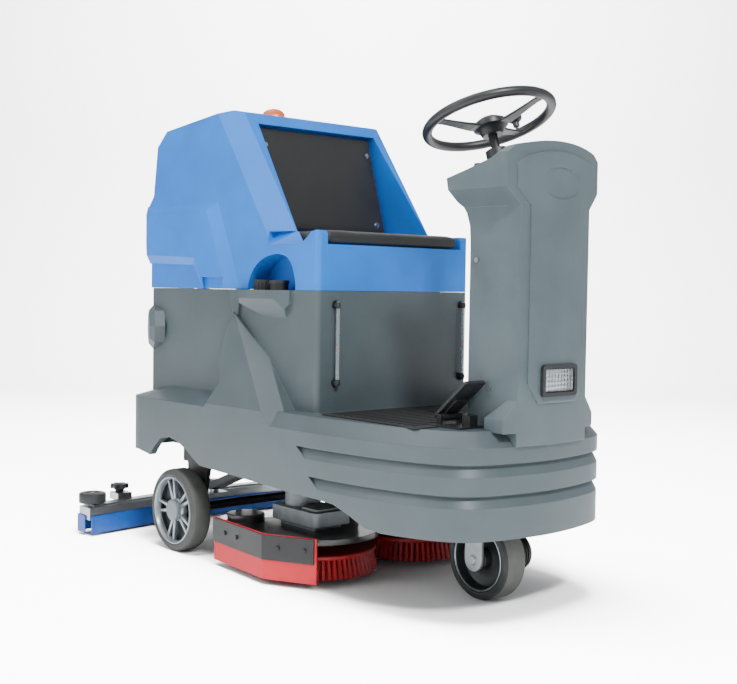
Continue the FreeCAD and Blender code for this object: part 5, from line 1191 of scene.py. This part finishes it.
# ---- studio ---------------------------------------------------------------------------
@dataclass(frozen=True)
class Studio:
    """Floor, backdrop, lights and camera.

    Args:
        eye: Where the camera stands, m.
        turn: Its heading, degrees.
        drop: How far it looks down, degrees.
        roll: How far it leans, degrees.
        lens: Focal length on a 36 mm sensor, mm.
    """

    eye: tuple[float, float, float] = (2.4466, -2.0331, 0.7441)
    turn: float = 49.10
    drop: float = 2.68
    roll: float = 0.83
    lens: float = 56.59

    def floor(self) -> None:
        """Lays a pale floor that curves up into a backdrop."""
        bm = bmesh.new()
        path = [(-6.0, 0.0), (5.0, 0.0)]
        for k in range(1, 13):
            a = math.pi / 2 * k / 12
            path.append((5.0 + 2.0 * math.sin(a), 2.0 * (1 - math.cos(a))))
        path.append((7.0, 7.0))
        verts = [bm.verts.new((0.0, y, z)) for y, z in path]
        edges = [bm.edges.new(pair) for pair in zip(verts, verts[1:])]
        grown = bmesh.ops.extrude_edge_only(bm, edges=edges)["geom"]
        moved = [v for v in grown if isinstance(v, bmesh.types.BMVert)]
        bmesh.ops.translate(bm, verts=moved, vec=(16.0, 0, 0))
        bmesh.ops.translate(bm, verts=bm.verts[:], vec=(-8.0, 0, 0))
        bmesh.ops.recalc_face_normals(bm, faces=bm.faces[:])
        mesh = bpy.data.meshes.new("floor")
        bm.to_mesh(mesh)
        bm.free()
        mesh.transform(Matrix.Rotation(math.radians(self.turn), 4, "Z"))
        mesh.shade_smooth()
        piece = bpy.data.objects.new("floor", mesh)
        bpy.context.scene.collection.objects.link(piece)
        mesh.materials.append(self.paper())
        wash = bpy.data.collections.new("washed")
        wash.objects.link(piece)
        washes = (self.lamp("floor_wash", (0.5, -0.5, 5.0), 2.2, 2600.0, (0.0, 0.0, 0.0)),
                  self.lamp("back_wash", (-2.0, 1.7, 5.0), 3.0, 1500.0, (-4.8, 4.2, 2.4)))
        for lit in washes:
            lit.light_linking.receiver_collection = wash

    def paper(self) -> bpy.types.Material:
        """Makes the floor's white paper, which throws little light back on the machine."""
        made = bpy.data.materials.new("studio_paper")
        made.use_nodes = True
        tree = made.node_tree
        shader = tree.nodes["Principled BSDF"]
        place = add(tree, "ShaderNodeTexCoord")
        fibre = add(tree, "ShaderNodeTexNoise", None,
                    {"Vector": (place, "Object"), "Scale": 3.0, "Detail": 3.0})
        tone = add(tree, "ShaderNodeMapRange", None, {"Value": (fibre, 0), "To Min": 0.93, "To Max": 0.96})
        ray = add(tree, "ShaderNodeLightPath")
        seen = add(tree, "ShaderNodeMapRange", None,
                   {"Value": (ray, "Is Camera Ray"), "To Min": 0.3, "To Max": 1.0})
        shade = add(tree, "ShaderNodeMath", {"operation": "MULTIPLY"}, {0: (tone, 0), 1: (seen, 0)})
        colour = add(tree, "ShaderNodeCombineColor", None,
                     {"Red": (shade, 0), "Green": (shade, 0), "Blue": (shade, 0)})
        tree.links.new(colour.outputs[0], shader.inputs["Base Color"])
        shader.inputs["Roughness"].default_value = 0.9
        return made

    def lamp(self, name: str, place: Sequence[float], size: float, power: float, aim: Sequence[float]
             ) -> bpy.types.Object:
        """Hangs a soft square light.

        Args:
            name: Its name.
            place: Where it hangs, m.
            size: Its side, m.
            power: Its power, W.
            aim: What it points at, m.

        Returns:
            The light's object.
        """
        light = bpy.data.lights.new(name, "AREA")
        light.shape = "SQUARE"
        light.size = size
        light.energy = power
        held = bpy.data.objects.new(name, light)
        held.location = place
        held.rotation_euler = (Vector(aim) - Vector(place)).to_track_quat("-Z", "Y").to_euler()
        bpy.context.scene.collection.objects.link(held)
        return held

    def sky(self) -> None:
        """Sets an even white surround."""
        world = bpy.data.worlds.new("surround")
        world.use_nodes = True
        back = world.node_tree.nodes["Background"]
        back.inputs["Color"].default_value = linear("FCFDFF")
        back.inputs["Strength"].default_value = 0.7
        bpy.context.scene.world = world

    def camera(self) -> None:
        """Stands the camera."""
        a, e, r = (math.radians(v) for v in (self.turn, self.drop, self.roll))
        ahead = Vector((-math.sin(a) * math.cos(e), math.cos(a) * math.cos(e), -math.sin(e)))
        right = Vector((math.cos(a), math.sin(a), 0.0))
        up = right.cross(ahead)
        right_rolled = math.cos(r) * right + math.sin(r) * up
        up_rolled = -math.sin(r) * right + math.cos(r) * up
        lens = bpy.data.cameras.new("camera")
        lens.lens = self.lens
        lens.sensor_width = 36.0
        lens.dof.use_dof = False
        held = bpy.data.objects.new("camera", lens)
        turn = Matrix((right_rolled, up_rolled, -ahead)).transposed().to_4x4()
        held.matrix_world = Matrix.Translation(self.eye) @ turn
        bpy.context.scene.collection.objects.link(held)
        bpy.context.scene.camera = held

    def build(self) -> None:
        """Makes the studio."""
        self.floor()
        self.sky()
        self.lamp("key", (2.9, -1.0, 3.1), 0.5, 150.0, (0.1, 0.0, 0.7))
        self.lamp("top_soft", (-0.4, -1.0, 3.4), 2.4, 60.0, (0.0, 0.0, 0.6))
        self.lamp("right_soft", (-0.8, -3.6, 2.2), 2.0, 60.0, (-0.1, 0.0, 0.6))
        self.camera()


# ---- the whole machine ----------------------------------------------------------------
def dress_frame(frame: dict) -> None:
    """Gives every node of the frame the finish of its slot.
    """
    for part in frame["record"]["subparts"]:
        node = frame["nodes"][part["node"]]
        node.data.materials.clear()
        node.data.materials.append(FINISHES[part["material_slot"]].build())


def main() -> None:
    """Builds the machine's looks, piece by piece."""
    logging.basicConfig(level=logging.INFO, format="%(message)s")
    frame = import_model()
    dress_frame(frame)
    for shell in SHELLS:
        shell.build(frame["nodes"])
    for side in (-1, 1):
        RearWheel(side).build()
        Brush(side).build()
    DriveWheel().build()
    SteeringWheel().build()
    Cushion("seat_cushion").build(frame["nodes"])
    Cushion("backrest_pad", inset=0.6, corner=4.0, rise=2.0, cell=5.0).build(frame["nodes"])
    SqueegeeTrim().build()
    Headlight().build()
    Beacon().build()
    LevelTubes().build()
    StopButton().build()
    Studio().build()


if __name__ == "__main__":
    main()
